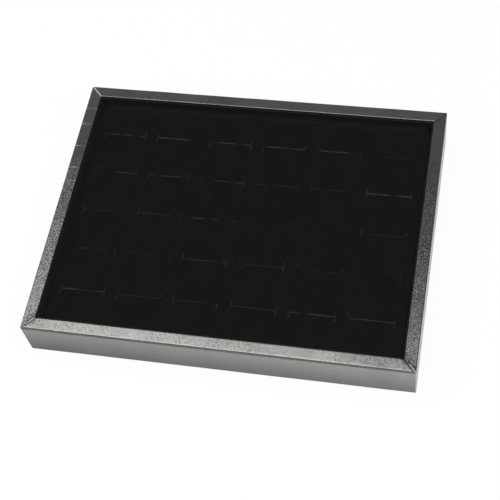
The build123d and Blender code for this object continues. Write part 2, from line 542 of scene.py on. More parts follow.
@dataclass(frozen=True)
class Effect:
    """A shader node group that several finishes place, each with its own values.

    Attributes:
        name: The group's name.
        inputs: Its inputs beside the vector, and what each one starts from.
        wire: Joins its nodes, from its wiring and its given sockets to the socket of each output.
    """

    name: str
    inputs: Mapping[str, float]
    wire: Callable[[Wiring, Sockets], Sockets]

    def tree(self) -> bpy.types.NodeTree:
        """Gives the group, which is made the first time.

        Returns:
            The group.
        """
        if self.name in bpy.data.node_groups:
            return bpy.data.node_groups[self.name]
        tree = bpy.data.node_groups.new(self.name, "ShaderNodeTree")
        tree.interface.new_socket("Vector", in_out="INPUT", socket_type="NodeSocketVector")
        for name, value in self.inputs.items():
            made = tree.interface.new_socket(name, in_out="INPUT", socket_type="NodeSocketFloat")
            made.default_value = value
        wiring = Wiring(tree)
        results = self.wire(wiring, wiring.add("NodeGroupInput").outputs)
        for name in results:
            tree.interface.new_socket(name, in_out="OUTPUT", socket_type="NodeSocketFloat")
        wiring.add("NodeGroupOutput", results)
        return tree

    def placed(self, wiring: Wiring, inputs: Mapping) -> Sockets:
        """Places the group in a material with its own values and returns its outputs."""
        return wiring.add("ShaderNodeGroup", inputs, node_tree=self.tree()).outputs


def uneven_tone(wiring: Wiring, given: Sockets) -> Sockets:
    """Wires a tone that drifts broadly and varies finely.

    It is a broad noise moved towards a fine one by the fine one's share.

    Args:
        wiring: The group's wiring.
        given: Its inputs.

    Returns:
        The tone, from 0 to 1.
    """
    broad = wiring.noise(given["Vector"], given["Broad"], 2.0)
    fine = wiring.noise(given["Vector"], given["Fine"], 3.0)
    fine_part = wiring.maths("MULTIPLY", wiring.maths("SUBTRACT", fine, broad), given["Fine Share"])
    return {"Tone": wiring.ranged(wiring.maths("ADD", broad, fine_part), 0.3, 0.7, 0.0, 1.0)}


def pebbled_grain(wiring: Wiring, given: Sockets) -> Sockets:
    """Wires the embossed pebbles of leatherette.

    They are the cells of a pattern whose places stray by a noise, with a finer grain over them.

    Args:
        wiring: The group's wiring.
        given: Its inputs.

    Returns:
        The height, which falls from 1 on a pebble to 0 round it, the crease, which is 1 round it,
        and the dull, which is 1 on a few pebbles.
    """
    vector, size = given["Vector"], given["Scale"]
    stray_inputs = {"Vector": vector, "Scale": wiring.maths("MULTIPLY", size, 0.7), "Detail": 1.0}
    stray = wiring.add("ShaderNodeTexNoise", stray_inputs).outputs["Color"]
    centred = wiring.vectors("SUBTRACT", {0: stray, 1: (0.5, 0.5, 0.5)})
    reach = wiring.maths("DIVIDE", given["Stray"], size)
    shift = wiring.vectors("SCALE", {0: centred, 3: reach})
    cells = {"Vector": wiring.vectors("ADD", {0: vector, 1: shift}), "Scale": size}
    borders = wiring.add("ShaderNodeTexVoronoi", cells, feature="DISTANCE_TO_EDGE")
    edge = wiring.maths("DIVIDE", borders.outputs["Distance"], given["Crease"])
    dome = wiring.ranged(edge, 0.0, 1.6, 0.0, 1.0)
    fine = wiring.noise(vector, wiring.maths("MULTIPLY", size, 4.0), 2.0)
    chance = wiring.channel(wiring.add("ShaderNodeTexVoronoi", cells).outputs["Color"], "Red")
    return {
        "Height": wiring.weighed(dome, fine, 0.2),
        "Crease": wiring.ranged(edge, 0.0, 0.55, 1.0, 0.0),
        "Dull": wiring.ranged(chance, 0.1, 0.34, 1.0, 0.0),
    }


def standing_pile(wiring: Wiring, given: Sockets) -> Sockets:
    """Wires the short fibres of velvet or felt.

    The tips are a fine noise over tufts five times as wide, and the nap is a broad one, drawn out
    along Y.

    Args:
        wiring: The group's wiring.
        given: Its inputs.

    Returns:
        The height of the fibre tips, and the shade, which is how the nap leans, from 0 to 1.
    """
    vector, fibre = given["Vector"], given["Fibre"]
    tips = wiring.noise(vector, fibre, 2.0, 0.6)
    tufts = wiring.noise(vector, wiring.maths("DIVIDE", fibre, 5.0), 2.0)
    drawn_out = wiring.vectors("MULTIPLY", {0: vector, 1: (1.0, 0.55, 1.0)})
    nap = wiring.noise(drawn_out, given["Nap"], 3.0, 0.55)
    lean = wiring.maths("MULTIPLY", wiring.maths("SUBTRACT", tufts, nap), given["Lean"])
    return {
        "Height": wiring.weighed(tips, tufts, 0.4),
        "Shade": wiring.ranged(wiring.maths("ADD", nap, lean), 0.3, 0.7, 0.0, 1.0),
    }


def pressed_flecks(wiring: Wiring, given: Sockets) -> Sockets:
    """Wires the chips and fibres of pressed board, or the cells of foam.

    A share of a pattern's cells, chosen by their colour, each hold a chip at their middle.

    Args:
        wiring: The group's wiring.
        given: Its inputs.

    Returns:
        The fleck, a mask of the chips, and the height of the felted face.
    """
    vector, chip = given["Vector"], given["Chip"]
    cells = wiring.add("ShaderNodeTexVoronoi", {"Vector": vector, "Scale": chip}).outputs
    chosen = wiring.maths("LESS_THAN", wiring.channel(cells["Color"], "Red"), given["Amount"])
    near = wiring.ranged(cells["Distance"], 0.2, 0.55, 1.0, 0.0)
    return {
        "Fleck": wiring.maths("MULTIPLY", chosen, near),
        "Height": wiring.noise(vector, wiring.maths("MULTIPLY", chip, 2.2), 4.0, 0.65),
    }


def stray_lint(wiring: Wiring, given: Sockets) -> Sockets:
    """Wires a few tiny specks of lint, one at the middle of a share of a pattern's cells.

    Args:
        wiring: The group's wiring.
        given: Its inputs.

    Returns:
        The speck, which is 1 on the lint.
    """
    scale = wiring.maths("DIVIDE", 1.0, given["Spacing"])
    cells = wiring.add("ShaderNodeTexVoronoi", {"Vector": given["Vector"], "Scale": scale}).outputs
    chosen = wiring.maths("LESS_THAN", wiring.channel(cells["Color"], "Green"), given["Amount"])
    reach = wiring.maths("MULTIPLY", given["Size"], scale)
    return {"Speck": wiring.maths("MULTIPLY", chosen, wiring.maths("LESS_THAN", cells["Distance"], reach))}


UNEVEN_TONE = Effect("uneven_tone", {"Broad": 40.0, "Fine": 400.0, "Fine Share": 0.4}, uneven_tone)
PEBBLED_GRAIN = Effect("pebbled_grain", {"Scale": 1000.0, "Crease": 0.34, "Stray": 0.5}, pebbled_grain)
STANDING_PILE = Effect("standing_pile", {"Fibre": 6000.0, "Nap": 90.0, "Lean": 0.5}, standing_pile)
PRESSED_FLECKS = Effect("pressed_flecks", {"Chip": 900.0, "Amount": 0.35}, pressed_flecks)
STRAY_LINT = Effect("stray_lint", {"Spacing": 8.0 * MM, "Size": 0.12 * MM, "Amount": 0.3}, stray_lint)


def blank_material(name: str) -> tuple[Material, Wiring]:
    """Makes a material without nodes, and the wiring for it.

    Args:
        name: The material's name.

    Returns:
        The material and its wiring.
    """
    material = bpy.data.materials.new(name)
    material.use_nodes = True
    material.node_tree.nodes.clear()
    return material, Wiring(material.node_tree)


@dataclass(frozen=True)
class Finish:
    """What a piece's surface is made of: a named material that ends in one Principled shader."""

    name: str

    def sockets(self, wiring: Wiring) -> dict[str, object]:
        """Returns what the shader's sockets are set or joined to."""
        raise NotImplementedError

    def material(self) -> Material:
        """Builds the material round its shader.

        Returns:
            The material.
        """
        material, wiring = blank_material(self.name)
        shader = wiring.add("ShaderNodeBsdfPrincipled", self.sockets(wiring))
        wiring.close(shader.outputs["BSDF"])
        return material


@dataclass(frozen=True)
class Leatherette(Finish):
    """Pearly embossed leatherette on a pale woven backing, which shows where it is cut.

    Attributes:
        light: The pearl at its palest.
        dark: The pearl at its darkest.
        crease: Colour of the painted shade in the creases between the pebbles, which dull pebbles take too.
        handled: Darker, warmer colour painted as shade at the walls' feet and on the rim top.
        smudge: Colour of the seam grime and of the painted shade line under the rim.
        backing: Colour of the backing.
        pebble: Size of a pebble.
        emboss: Depth of the embossing.
        fine_pebble: Size of the finer grain over the pebbles.
        fine_emboss: Depth of that grain.
        broad_drift: Broad changes of the pearl's tone, per metre.
        fine_drift: Fine changes of its tone, per metre.
        fine_share: Share of the fine changes.
        crease_share: How far a crease is darkened toward that painted shade.
        dull_share: How dark a dull pebble is, where a crease is 1.
        rubbed_share: How far a rubbed edge turns pale.
        pearl: How metallic the pearl is.
        roughness: Roughness of the smoothest pearl.
        drift_roughness: How much rougher it is where its tone is pale.
        crease_roughness: How much rougher a crease is.
        backing_roughness: Roughness of the backing.
    """

    name: str = "pewter_leatherette"
    light: Colour = (0.348, 0.337, 0.321)
    dark: Colour = (0.295, 0.288, 0.276)
    crease: Colour = (0.05, 0.049, 0.047)
    handled: Colour = (0.089, 0.079, 0.0715)
    smudge: Colour = (0.03, 0.031, 0.027)
    backing: Colour = (0.68, 0.67, 0.64)
    pebble: float = 0.86 * MM
    emboss: float = 0.062 * MM
    fine_pebble: float = 0.36 * MM
    fine_emboss: float = 0.012 * MM
    broad_drift: float = 45.0
    fine_drift: float = 1050.0
    fine_share: float = 0.72
    crease_share: float = 0.8
    dull_share: float = 0.92
    rubbed_share: float = 0.5
    pearl: float = 0.94
    roughness: float = 0.12
    drift_roughness: float = 0.05
    crease_roughness: float = 0.12
    backing_roughness: float = 0.9

    def sockets(self, wiring: Wiring) -> dict[str, object]:
        """Joins the leatherette's colour, gloss and grain.

        The pebbles carry the pearl, and the creases are darker with painted shade. The darkened value,
        which is seam grime and the painted shade line under the rim, is raised to a power that is lower
        in the creases, so it shows there first. A raw edge is dull backing, as is the painted highlight
        along each crease of the left rail.

        Args:
            wiring: The material's wiring.

        Returns:
            The shader's sockets.
        """
        surface = wiring.add("ShaderNodeUVMap", uv_map="surface").outputs["UV"]
        grain = PEBBLED_GRAIN.placed(wiring, {"Vector": surface, "Scale": 1.0 / self.pebble})
        fine = PEBBLED_GRAIN.placed(wiring, {"Vector": surface, "Scale": 1.0 / self.fine_pebble})
        drift = {"Broad": self.broad_drift, "Fine": self.fine_drift, "Fine Share": self.fine_share}
        tone = UNEVEN_TONE.placed(wiring, {"Vector": surface, **drift})["Tone"]
        # Pale backing at the cuts, and a painted highlight along the left rail's creases.
        raw = wiring.mark("raw_edge")
        embossed = wiring.mark("embossed")
        duller = wiring.maths("MULTIPLY", grain["Dull"], self.dull_share)
        darkest = wiring.maths("MAXIMUM", grain["Crease"], duller)
        deep = wiring.maths("MULTIPLY", darkest, embossed)
        pearl = wiring.mixed(tone, self.dark, self.light)
        # Painted shade: the creases, and the dull pebbles, darken toward the crease colour.
        crease_shaded = wiring.mixed(wiring.maths("MULTIPLY", deep, self.crease_share), pearl, self.crease)
        rubbed = wiring.maths("MULTIPLY", wiring.mark("rubbed"), self.rubbed_share)
        retoned = wiring.mixed(rubbed, crease_shaded, self.light)
        # Painted shade: a darker, warmer colour toward the foot of each outer wall and over parts of the
        # rim top.
        handled = wiring.mixed(wiring.mark("handled"), retoned, self.handled)
        gathers = wiring.maths("SUBTRACT", 1.6, wiring.maths("MULTIPLY", darkest, 1.1))
        # The darkened value: seam grime, and the painted shade line under the rim.
        darkened_share = wiring.maths("POWER", wiring.mark("smudge"), gathers)
        darkened_colour = wiring.mixed(darkened_share, handled, self.smudge)
        gloss = wiring.ranged(tone, 0.0, 1.0, self.roughness, self.roughness + self.drift_roughness)
        rough = wiring.maths("ADD", gloss, wiring.maths("MULTIPLY", deep, self.crease_roughness))
        cloth = wiring.maths("MULTIPLY", raw, self.backing_roughness)
        covered = wiring.maths("SUBTRACT", 1.0, raw)
        under = wiring.bumped(fine["Height"], self.fine_emboss, 1.0)
        raised = wiring.maths("POWER", embossed, 1.7)
        return {
            "Base Color": wiring.mixed(raw, darkened_colour, self.backing),
            "Metallic": wiring.maths("MULTIPLY", covered, self.pearl),
            "Roughness": wiring.maths("MAXIMUM", rough, cloth),
            "Normal": wiring.bumped(grain["Height"], self.emboss, raised, Normal=under),
        }


@dataclass(frozen=True)
class Velvet(Finish):
    """Dense short-pile velvet, with paler lint and a painted highlight where it is cut.

    Attributes:
        deep: Colour where the nap leans away.
        raised: Colour where it leans over.
        rubbed: Colour where the pad has rubbed it.
        lint: Colour of lint specks, and of the cut lips: partly cut fibres, partly painted highlight.
        fibre: Size of a fibre's tip.
        nap: Size of a patch of the nap.
        depth: Depth of the pile.
        sheen: Weight of the sheen.
    """

    deep: Colour
    raised: Colour
    rubbed: Colour
    lint: Colour = (0.08, 0.082, 0.084)
    fibre: float = 0.16 * MM
    nap: float = 11.0 * MM
    depth: float = 0.05 * MM
    sheen: float = 0.03

    def sockets(self, wiring: Wiring) -> dict[str, object]:
        """Joins the velvet's nap, its rubbed edges, its lint and the painted highlight at its cuts.

        Args:
            wiring: The material's wiring.

        Returns:
            The shader's sockets.
        """
        place = wiring.place()
        sizes = {"Fibre": 1.0 / self.fibre, "Nap": 1.0 / self.nap}
        pile = STANDING_PILE.placed(wiring, {"Vector": place, **sizes})
        speck = STRAY_LINT.placed(wiring, {"Vector": place})["Speck"]
        # Lint specks, and the cut lips: pale cut fibres with a painted highlight.
        lint = wiring.maths("MAXIMUM", wiring.mark("cut_lip"), speck)
        body = wiring.mixed(pile["Shade"], self.deep, self.raised)
        slid = wiring.mixed(wiring.mark("rubbed"), body, self.rubbed)
        return {
            "Base Color": wiring.mixed(lint, slid, self.lint),
            "Roughness": wiring.ranged(pile["Shade"], 0.0, 1.0, 0.95, 0.85),
            "Specular IOR Level": 0.06,
            "Sheen Weight": self.sheen,
            "Sheen Roughness": 0.45,
            "Normal": wiring.bumped(pile["Height"], self.depth, 0.8),
        }


@dataclass(frozen=True)
class Felt(Finish):
    """Flat pressed felt.

    Attributes:
        deep: Colour between the fibres.
        raised: Colour of the strands on top.
        fibre: Size of a fibre.
        nap: Size of a patch of matted fibres.
        lean: How far the strands stand out from the patches.
        depth: Depth of its face.
    """

    name: str = "black_felt"
    deep: Colour = (0.014, 0.014, 0.015)
    raised: Colour = (0.03, 0.03, 0.031)
    fibre: float = 0.45 * MM
    nap: float = 1.0 / 60.0
    lean: float = 1.2
    depth: float = 0.09 * MM

    def sockets(self, wiring: Wiring) -> dict[str, object]:
        """Joins the felt, whose matted fibres cross it in short pale strands.

        Args:
            wiring: The material's wiring.

        Returns:
            The shader's sockets.
        """
        sizes = {"Fibre": 1.0 / self.fibre, "Nap": 1.0 / self.nap, "Lean": self.lean}
        pile = STANDING_PILE.placed(wiring, {"Vector": wiring.place(), **sizes})
        return {
            "Base Color": wiring.mixed(pile["Shade"], self.deep, self.raised),
            "Roughness": wiring.ranged(pile["Height"], 0.3, 0.7, 0.98, 0.88),
            "Specular IOR Level": 0.2,
            "Sheen Weight": 0.2,
            "Sheen Roughness": 0.6,
            "Normal": wiring.bumped(pile["Height"], self.depth, 0.9),
        }


@dataclass(frozen=True)
class Board(Finish):
    """Pressed board or foam: a body colour with flecks in it.

    Attributes:
        body: Colour of its pale patches.
        shade: Colour of its darker ones.
        fleck: Colour of the chips.
        chip: Size of a chip.
        amount: Share of the places that hold a chip.
        depth: Depth of its felted face.
        roughness: Roughness of its pale patches.
        smoother: How much smoother the darker ones are.
    """

    body: Colour
    shade: Colour
    fleck: Colour
    chip: float
    amount: float
    depth: float
    roughness: float = 0.85
    smoother: float = 0.08

    def sockets(self, wiring: Wiring) -> dict[str, object]:
        """Joins the board, whose tone drifts and in which chips of another colour lie.

        Args:
            wiring: The material's wiring.

        Returns:
            The shader's sockets.
        """
        place = wiring.place()
        chips = {"Chip": 1.0 / self.chip, "Amount": self.amount}
        flecks = PRESSED_FLECKS.placed(wiring, {"Vector": place, **chips})
        tone = UNEVEN_TONE.placed(wiring, {"Vector": place, "Broad": 60.0, "Fine": 900.0})["Tone"]
        ground = wiring.mixed(tone, self.shade, self.body)
        return {
            "Base Color": wiring.mixed(flecks["Fleck"], ground, self.fleck),
            "Roughness": wiring.ranged(tone, 0.0, 1.0, self.roughness - self.smoother, self.roughness),
            "Normal": wiring.bumped(flecks["Height"], self.depth, 0.8),
        }


@dataclass(frozen=True)
class Wire(Finish):
    """Drawn steel wire, flattened, with a thin oil film.

    Attributes:
        bright: Colour of the bare steel.
        dull: Colour under the film.
        line_depth: Depth of the drawing lines.
    """

    name: str = "drawn_steel"
    bright: Colour = (0.56, 0.56, 0.55)
    dull: Colour = (0.36, 0.355, 0.345)
    line_depth: float = 0.006 * MM

    def sockets(self, wiring: Wiring) -> dict[str, object]:
        """Joins the steel: drawing lines run up it, and the oil film leaves patches.

        Args:
            wiring: The material's wiring.

        Returns:
            The shader's sockets.
        """
        place = wiring.place()
        tone = UNEVEN_TONE.placed(wiring, {"Vector": place, "Broad": 300.0, "Fine": 2500.0})["Tone"]
        drawn_out = wiring.vectors("MULTIPLY", {0: place, 1: (1.0, 1.0, 0.03)})
        lines = wiring.noise(drawn_out, 9000.0, 2.0)
        return {
            "Base Color": wiring.mixed(tone, self.dull, self.bright),
            "Metallic": 1.0,
            "Roughness": wiring.ranged(tone, 0.0, 1.0, 0.5, 0.32),
            "Normal": wiring.bumped(lines, self.line_depth, 0.6),
        }


PAD_VELVET = Velvet(
    name="pad_velvet",
    deep=(0.0047, 0.0048, 0.0049),
    raised=(0.0068, 0.0069, 0.007),
    rubbed=(0.0125, 0.0126, 0.0127),
)
# About twice as pale as the pad's velvet: painted light that makes up for the shade on the upright walls.
LINING_VELVET_LIGHTENED = Velvet(
    name="lining_velvet",
    deep=(0.0095, 0.0095, 0.0096),
    raised=(0.0128, 0.0128, 0.0129),
    rubbed=(0.0225, 0.0225, 0.0227),
)
RAIL_BOARD = Board(
    name="rail_board",
    body=(0.56, 0.42, 0.28),
    shade=(0.47, 0.34, 0.22),
    fleck=(0.35, 0.24, 0.15),
    chip=0.7 * MM,
    amount=0.3,
    depth=0.04 * MM,
)
HARDBOARD = Board(
    name="hardboard",
    body=(0.30, 0.19, 0.11),
    shade=(0.22, 0.135, 0.075),
    fleck=(0.42, 0.29, 0.18),
    chip=1.1 * MM,
    amount=0.3,
    depth=0.05 * MM,
    roughness=0.7,
)
GREYBOARD = Board(
    name="greyboard",
    body=(0.42, 0.41, 0.38),
    shade=(0.36, 0.35, 0.32),
    fleck=(0.22, 0.21, 0.2),
    chip=0.6 * MM,
    amount=0.2,
    depth=0.03 * MM,
    roughness=0.92,
)
FOAM = Board(
    name="charcoal_foam",
    body=(0.05, 0.05, 0.052),
    shade=(0.036, 0.036, 0.038),
    fleck=(0.012, 0.012, 0.012),
    chip=0.8 * MM,
    amount=0.5,
    depth=0.2 * MM,
)


def dress(piece: Piece, material: Material, body: Body) -> None:
    """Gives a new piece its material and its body.

    Args:
        piece: The piece.
        material: Its material.
        body: The body that it rides on.
    """
    piece.data.materials.append(material)
    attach(piece, body.value)


@dataclass(frozen=True)
class TraySizes:
    """The tray's sizes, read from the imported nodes.

    Attributes:
        length: Size along X.
        width: Size along Y.
        top: Height of the rim.
        lining_out: From the tray's outside to a wall lining's back.
        lining_in: From the tray's outside to a wall lining's face.
        lining_top: Height of the wall linings' top.
        base_top: Height of the base's upper face.
        wrap_bottom: Height of the leatherette under the rails.
        pad_top: Height of the pad's face.
    """

    length: float
    width: float
    top: float
    lining_out: float
    lining_in: float
    lining_top: float
    base_top: float
    wrap_bottom: float
    pad_top: float

    @classmethod
    def read(cls) -> "TraySizes":
        """Reads the sizes from the nodes' boxes.

        Returns:
            The sizes.
        """
        low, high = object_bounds()
        lining_low, lining_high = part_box("front_wall_lining")
        _, base_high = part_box("base_panel")
        wrap_low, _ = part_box("front_wrap")
        _, pad_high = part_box("pad_velvet")
        return cls(
            length=high.x - low.x,
            width=high.y - low.y,
            top=high.z,
            lining_out=lining_low.y - low.y,
            lining_in=lining_high.y - low.y,
            lining_top=lining_high.z,
            base_top=base_high.z,
            wrap_bottom=wrap_low.z,
            pad_top=pad_high.z,
        )

    def spans(self, side: Side) -> tuple[float, float]:
        """Returns a side's length and the tray's size across it."""
        long_side = side in (Side.FRONT, Side.BACK)
        return (self.length, self.width) if long_side else (self.width, self.length)


@dataclass(frozen=True)
class SeamLook:
    """How one mitred corner of the leatherette has turned out.

    Attributes:
        dirtier_side: The side that carries most of the dirt.
        raw_width: Width of pale backing that shows at the cut.
        raw: How plainly it shows, from 0 to 1.
        smudge: How grimy the corner is, from 0 to 1.
        bare: Where the backing shows, as shares of the way from the inner corner to the outer one.
        turned: How far the cut has turned down, from 0 to 1.
        wiped: How clean the outer tip is, from 0 to 1.
    """

    dirtier_side: Side
    raw_width: float
    raw: float
    smudge: float
    bare: tuple[float, float] = (0.0, 1.0)
    turned: float = 1.0
    wiped: float = 0.0


@dataclass(frozen=True)
class StripLook:
    """How one side's strip of leatherette has turned out.

    Attributes:
        grain: Depth of its pebbles at each of STRIP_PLACES, from 0 to 1.
        patchy: How far that depth drifts from place to place.
        rim_shade_below: How far below the rim its painted shade line lies.
        darkening: How plain that painted shade line is, from 0 to 1.
        retoned: Painted shade on its outer wall at the low and the high end, from 0 to 1.
        foot_shade: How much more painted shade its outer wall has at the foot.
        shade: Painted shade on its rim top at each of STRIP_PLACES, from 0 to 1, where the light falls off.
    """

    grain: tuple[float, ...]
    patchy: float = 0.25
    rim_shade_below: float = 1.2 * MM
    darkening: float = 0.0
    retoned: tuple[float, float] = (0.0, 0.0)
    foot_shade: float = 0.0
    shade: tuple[float, ...] = (0.0, 0.0, 0.0, 0.0, 0.0)


SEAM_LOOKS = {
    Corner.BACK_LEFT: SeamLook(Side.LEFT, raw_width=0.36 * MM, raw=1.0, smudge=0.0),
    Corner.FRONT_LEFT: SeamLook(
        Side.LEFT, raw_width=0.34 * MM, raw=0.95, smudge=1.0, bare=(0.0, 0.55), wiped=0.85
    ),
    Corner.FRONT_RIGHT: SeamLook(Side.RIGHT, raw_width=0.32 * MM, raw=0.9, smudge=1.0, bare=(0.45, 1.0)),
    Corner.BACK_RIGHT: SeamLook(Side.RIGHT, raw_width=0.1 * MM, raw=0.0, smudge=0.1, turned=0.2),
}

# Places along a side, as shares of its length, at which a strip's look is given.
STRIP_PLACES = (0.0, 0.25, 0.4, 0.6, 1.0)
# Each side's painted shade on the rim top and the outer wall, and its painted shade line under the rim,
# with its grain.
STRIP_LOOKS = {
    Side.FRONT: StripLook((0.8, 0.44, 0.28, 0.4, 0.62), darkening=0.9, retoned=(0.28, 0.0), foot_shade=0.6),
    Side.RIGHT: StripLook(
        (0.92, 0.95, 1.0, 1.0, 0.5), patchy=0.2, darkening=0.05, shade=(0.12, 0.33, 0.38, 0.24, 0.2)
    ),
    Side.BACK: StripLook((0.42, 0.42, 0.42, 0.42, 0.42), darkening=0.4, retoned=(0.1, 0.1), foot_shade=0.5),
    Side.LEFT: StripLook(
        (0.4, 0.4, 0.85, 1.0, 1.0),
        patchy=0.15,
        rim_shade_below=0.45 * MM,
        darkening=1.0,
        retoned=(0.1, 0.34),
        foot_shade=0.6,
        shade=(0.05, 0.24, 0.24, 0.09, 0.0),
    ),
}


@dataclass
class Wraps:
    """Four strips of leatherette, each glued round its rail and mitred at both ends.

    Attributes:
        sizes: The tray's sizes.
        material: The strips' material.
        thickness: Thickness of the leatherette.
        edge_radius: Radius over a rail's outer top edge.
        inner_radius: Radius over its inner top edge.
        foot_radius: Radius at the outer foot.
        least_radius: Smallest radius of the strip's back.
        turn_under: How far in the strip is turned under the rail.
        seam_gap: Gap between the two strips at a mitre.
        roll_width: How far from its cut the strip starts to turn down.
        roll_depth: How far it has turned down at the cut.
        swell: Height of the glued strip's slow waves.
        wave: Length of a wave.
        ripple: Length of a ripple, which is half as high.
        calm: Distance from a cut over which the waves die away.
        crease_height: Height of the faint creases across the left rail.
        crease_width: Half width of a crease.
        crease_shares: Their places, as shares of the rail's length.
        crease_depths: How plain each one is.
        crease_highlight: How pale the painted highlight along a crease is, where bare backing is 1.
        bare_fade: Share of the way along a mitre over which bare backing ends.
        blot_reach: How far from a cut dirt has spread in blots.
        seam_darkening: Distance from a cut of the line of dirt that follows it.
        seam_darkening_width: Half width of that line.
        rim_shade_width: Half width of the painted shade line under the rim.
        full_bend: How far a normal half way round an edge is from the nearest straight way.
        least_grain: Depth of the grain at its faintest, from 0 to 1.
        wall_stretch: Share of the grain that is lost down the outer wall.
    """

    sizes: TraySizes
    material: Material
    thickness: float = 0.75 * MM
    edge_radius: float = 0.9 * MM
    inner_radius: float = 0.4 * MM
    foot_radius: float = 0.4 * MM
    least_radius: float = 0.03 * MM
    turn_under: float = 12.0 * MM
    seam_gap: float = 0.16 * MM
    roll_width: float = 0.7 * MM
    roll_depth: float = 0.34 * MM
    swell: float = 0.05 * MM
    wave: float = 17.0 * MM
    ripple: float = 6.0 * MM
    calm: float = 4.0 * MM
    crease_height: float = 0.08 * MM
    crease_width: float = 0.3 * MM
    crease_shares: tuple[float, ...] = (0.1, 0.17, 0.266, 0.358, 0.414)
    crease_depths: tuple[float, ...] = (1.1, 1.2, 1.0, 0.7, 0.5)
    crease_highlight: float = 0.2
    bare_fade: float = 0.12
    blot_reach: float = 5.0 * MM
    seam_darkening: float = 1.2 * MM
    seam_darkening_width: float = 0.7 * MM
    rim_shade_width: float = 0.85 * MM
    full_bend: float = 0.29
    least_grain: float = 0.05
    wall_stretch: float = 0.6

    def section(self, depth: float) -> Profile:
        """Path of the strip round the rail.

        It climbs the inner wall, crosses the top, goes down the outside and turns under the foot.

        Args:
            depth: Depth below the strip's face.

        Returns:
            The path at that depth.
        """
        s = self.sizes
        corners = (
            (s.lining_out - depth, s.base_top),
            (s.lining_out - depth, s.top - depth),
            (depth, s.top - depth),
            (depth, s.wrap_bottom + depth),
            (self.turn_under, s.wrap_bottom + depth),
        )
        at_face = (self.inner_radius, self.edge_radius, self.foot_radius)
        radii = [max(radius - depth, self.least_radius) for radius in at_face]
        return wrapped_profile(corners, radii, counts=(14, 14, 44, 10), arc_steps=8)

    @cached_property
    def face(self) -> Profile:
        """Path of the strip's face."""
        return self.section(0.0)

    @cached_property
    def outer_wall(self) -> Array:
        """1 where the section goes down the outside, 0 on the rim and under the foot."""
        return eased((-self.face.normals[:, 0] - 0.5) / 0.5)

    def crease_places(self, length: float) -> Array:
        """Distance of each crease from the middle of a side of that length."""
        return (np.array(self.crease_shares) - 0.5) * length

    def stations(self, side: Side, half: float) -> Array:
        """Shares of the half length, from -1 to 1, with close ones near both mitres.

        Args:
            side: The side, whose creases also get close ones.
            half: Half the side's length.

        Returns:
            The shares in rising order.
        """
        from_cut = np.concatenate([[0.1, 0.22, 0.36, 0.52, 0.7], np.arange(1.0, 6.2, 0.4)]) * MM
        near_cut = half - from_cut
        close = [near_cut, -near_cut]
        if side is Side.LEFT:
            beside = np.linspace(-1.2, 1.2, 13) * MM
            close.append((self.crease_places(2 * half)[:, None] + beside).ravel())
        return graded_lines(-half, half, 1.0 * MM, np.concatenate(close)) / half

    def skin(self, side: Side) -> Skin:
        """The strip of one side.

        A point lies at its station times half the side's length, less its distance in and half the
        seam gap, so both ends meet the mitre planes. The face moves along its normal by slow noise
        and, near a cut, down by the square of how near it is.

        Args:
            side: The side.

        Returns:
            The strip.
        """
        length, across = self.sizes.spans(side)
        seed = side.value
        stations = self.stations(side, length / 2)[:, None]
        reach = length / 2 - self.face.points[:, 0] - self.seam_gap / 2
        along = stations * reach
        run = np.broadcast_to(self.face.run, along.shape)
        to_cut = (1.0 - np.abs(stations)) * reach
        slow = soft_noise(along, run + seed, self.wave, seed)
        slow = slow + 0.5 * soft_noise(along, run, self.ripple, seed + 1)
        turned = [SEAM_LOOKS[corner].turned for corner in side.ends]
        near = np.clip(1.0 - to_cut / self.roll_width, 0.0, 1.0) ** 2 * np.where(stations < 0, *turned)
        lift = self.swell * slow * eased(to_cut / self.calm) - self.roll_depth * near
        lift = lift + self.crease_height * self.creases(side, along)
        moved = self.face.points + lift[..., None] * self.face.normals
        outer = side.placed(along, moved[..., 0], moved[..., 1], across)
        back_inward, back_height = self.section(self.thickness).points.T
        back_along = stations * (length / 2 - back_inward - self.seam_gap / 2)
        inner = side.placed(back_along, back_inward, back_height, across)
        uv = np.stack([run + UV_STRIP * (1 + seed / 90), along + UV_MIDDLE], axis=-1)
        return Skin.gridded(outer, inner, uv, self.marks(side, along, run, to_cut, stations))

    def creases(self, side: Side, along: Array) -> Array:
        """Low ridges across the left rail, where the strip was stretched unevenly.

        Args:
            side: The side.
            along: Distance along the side at each point.

        Returns:
            A narrow bell about each crease, as high as the crease is plain.
        """
        if side is not Side.LEFT:
            return np.zeros(along.shape)
        off_crease = along[..., None] - self.crease_places(self.sizes.width)
        return bell(off_crease, self.crease_width) @ np.array(self.crease_depths)

    def marks(
        self, side: Side, along: Array, run: Array, to_cut: Array, stations: Array
    ) -> dict[str, Array]:
        """Point values that the leatherette's finish reads.

        Args:
            side: The side.
            along: Distance along the side.
            run: Length along the section.
            to_cut: Distance to the nearer mitre.
            stations: Shares of the half length.

        Returns:
            raw_edge, smudge, rubbed, embossed and handled, each from 0 to 1.
            Of these, smudge holds grime and painted shade, handled holds painted shade,
            and raw_edge also holds a painted highlight on the creases.
        """
        upward = np.clip(self.face.normals[:, 1], 0.0, 1.0)
        outward = 1.0 - self.face.points[:, 0] / self.sizes.lining_out
        patches = soft_share(along, run, 1.1 * MM, side.value + 5)
        streaks = soft_share(run, along, 3.5 * MM, side.value + 9)
        raw = np.zeros(along.shape)
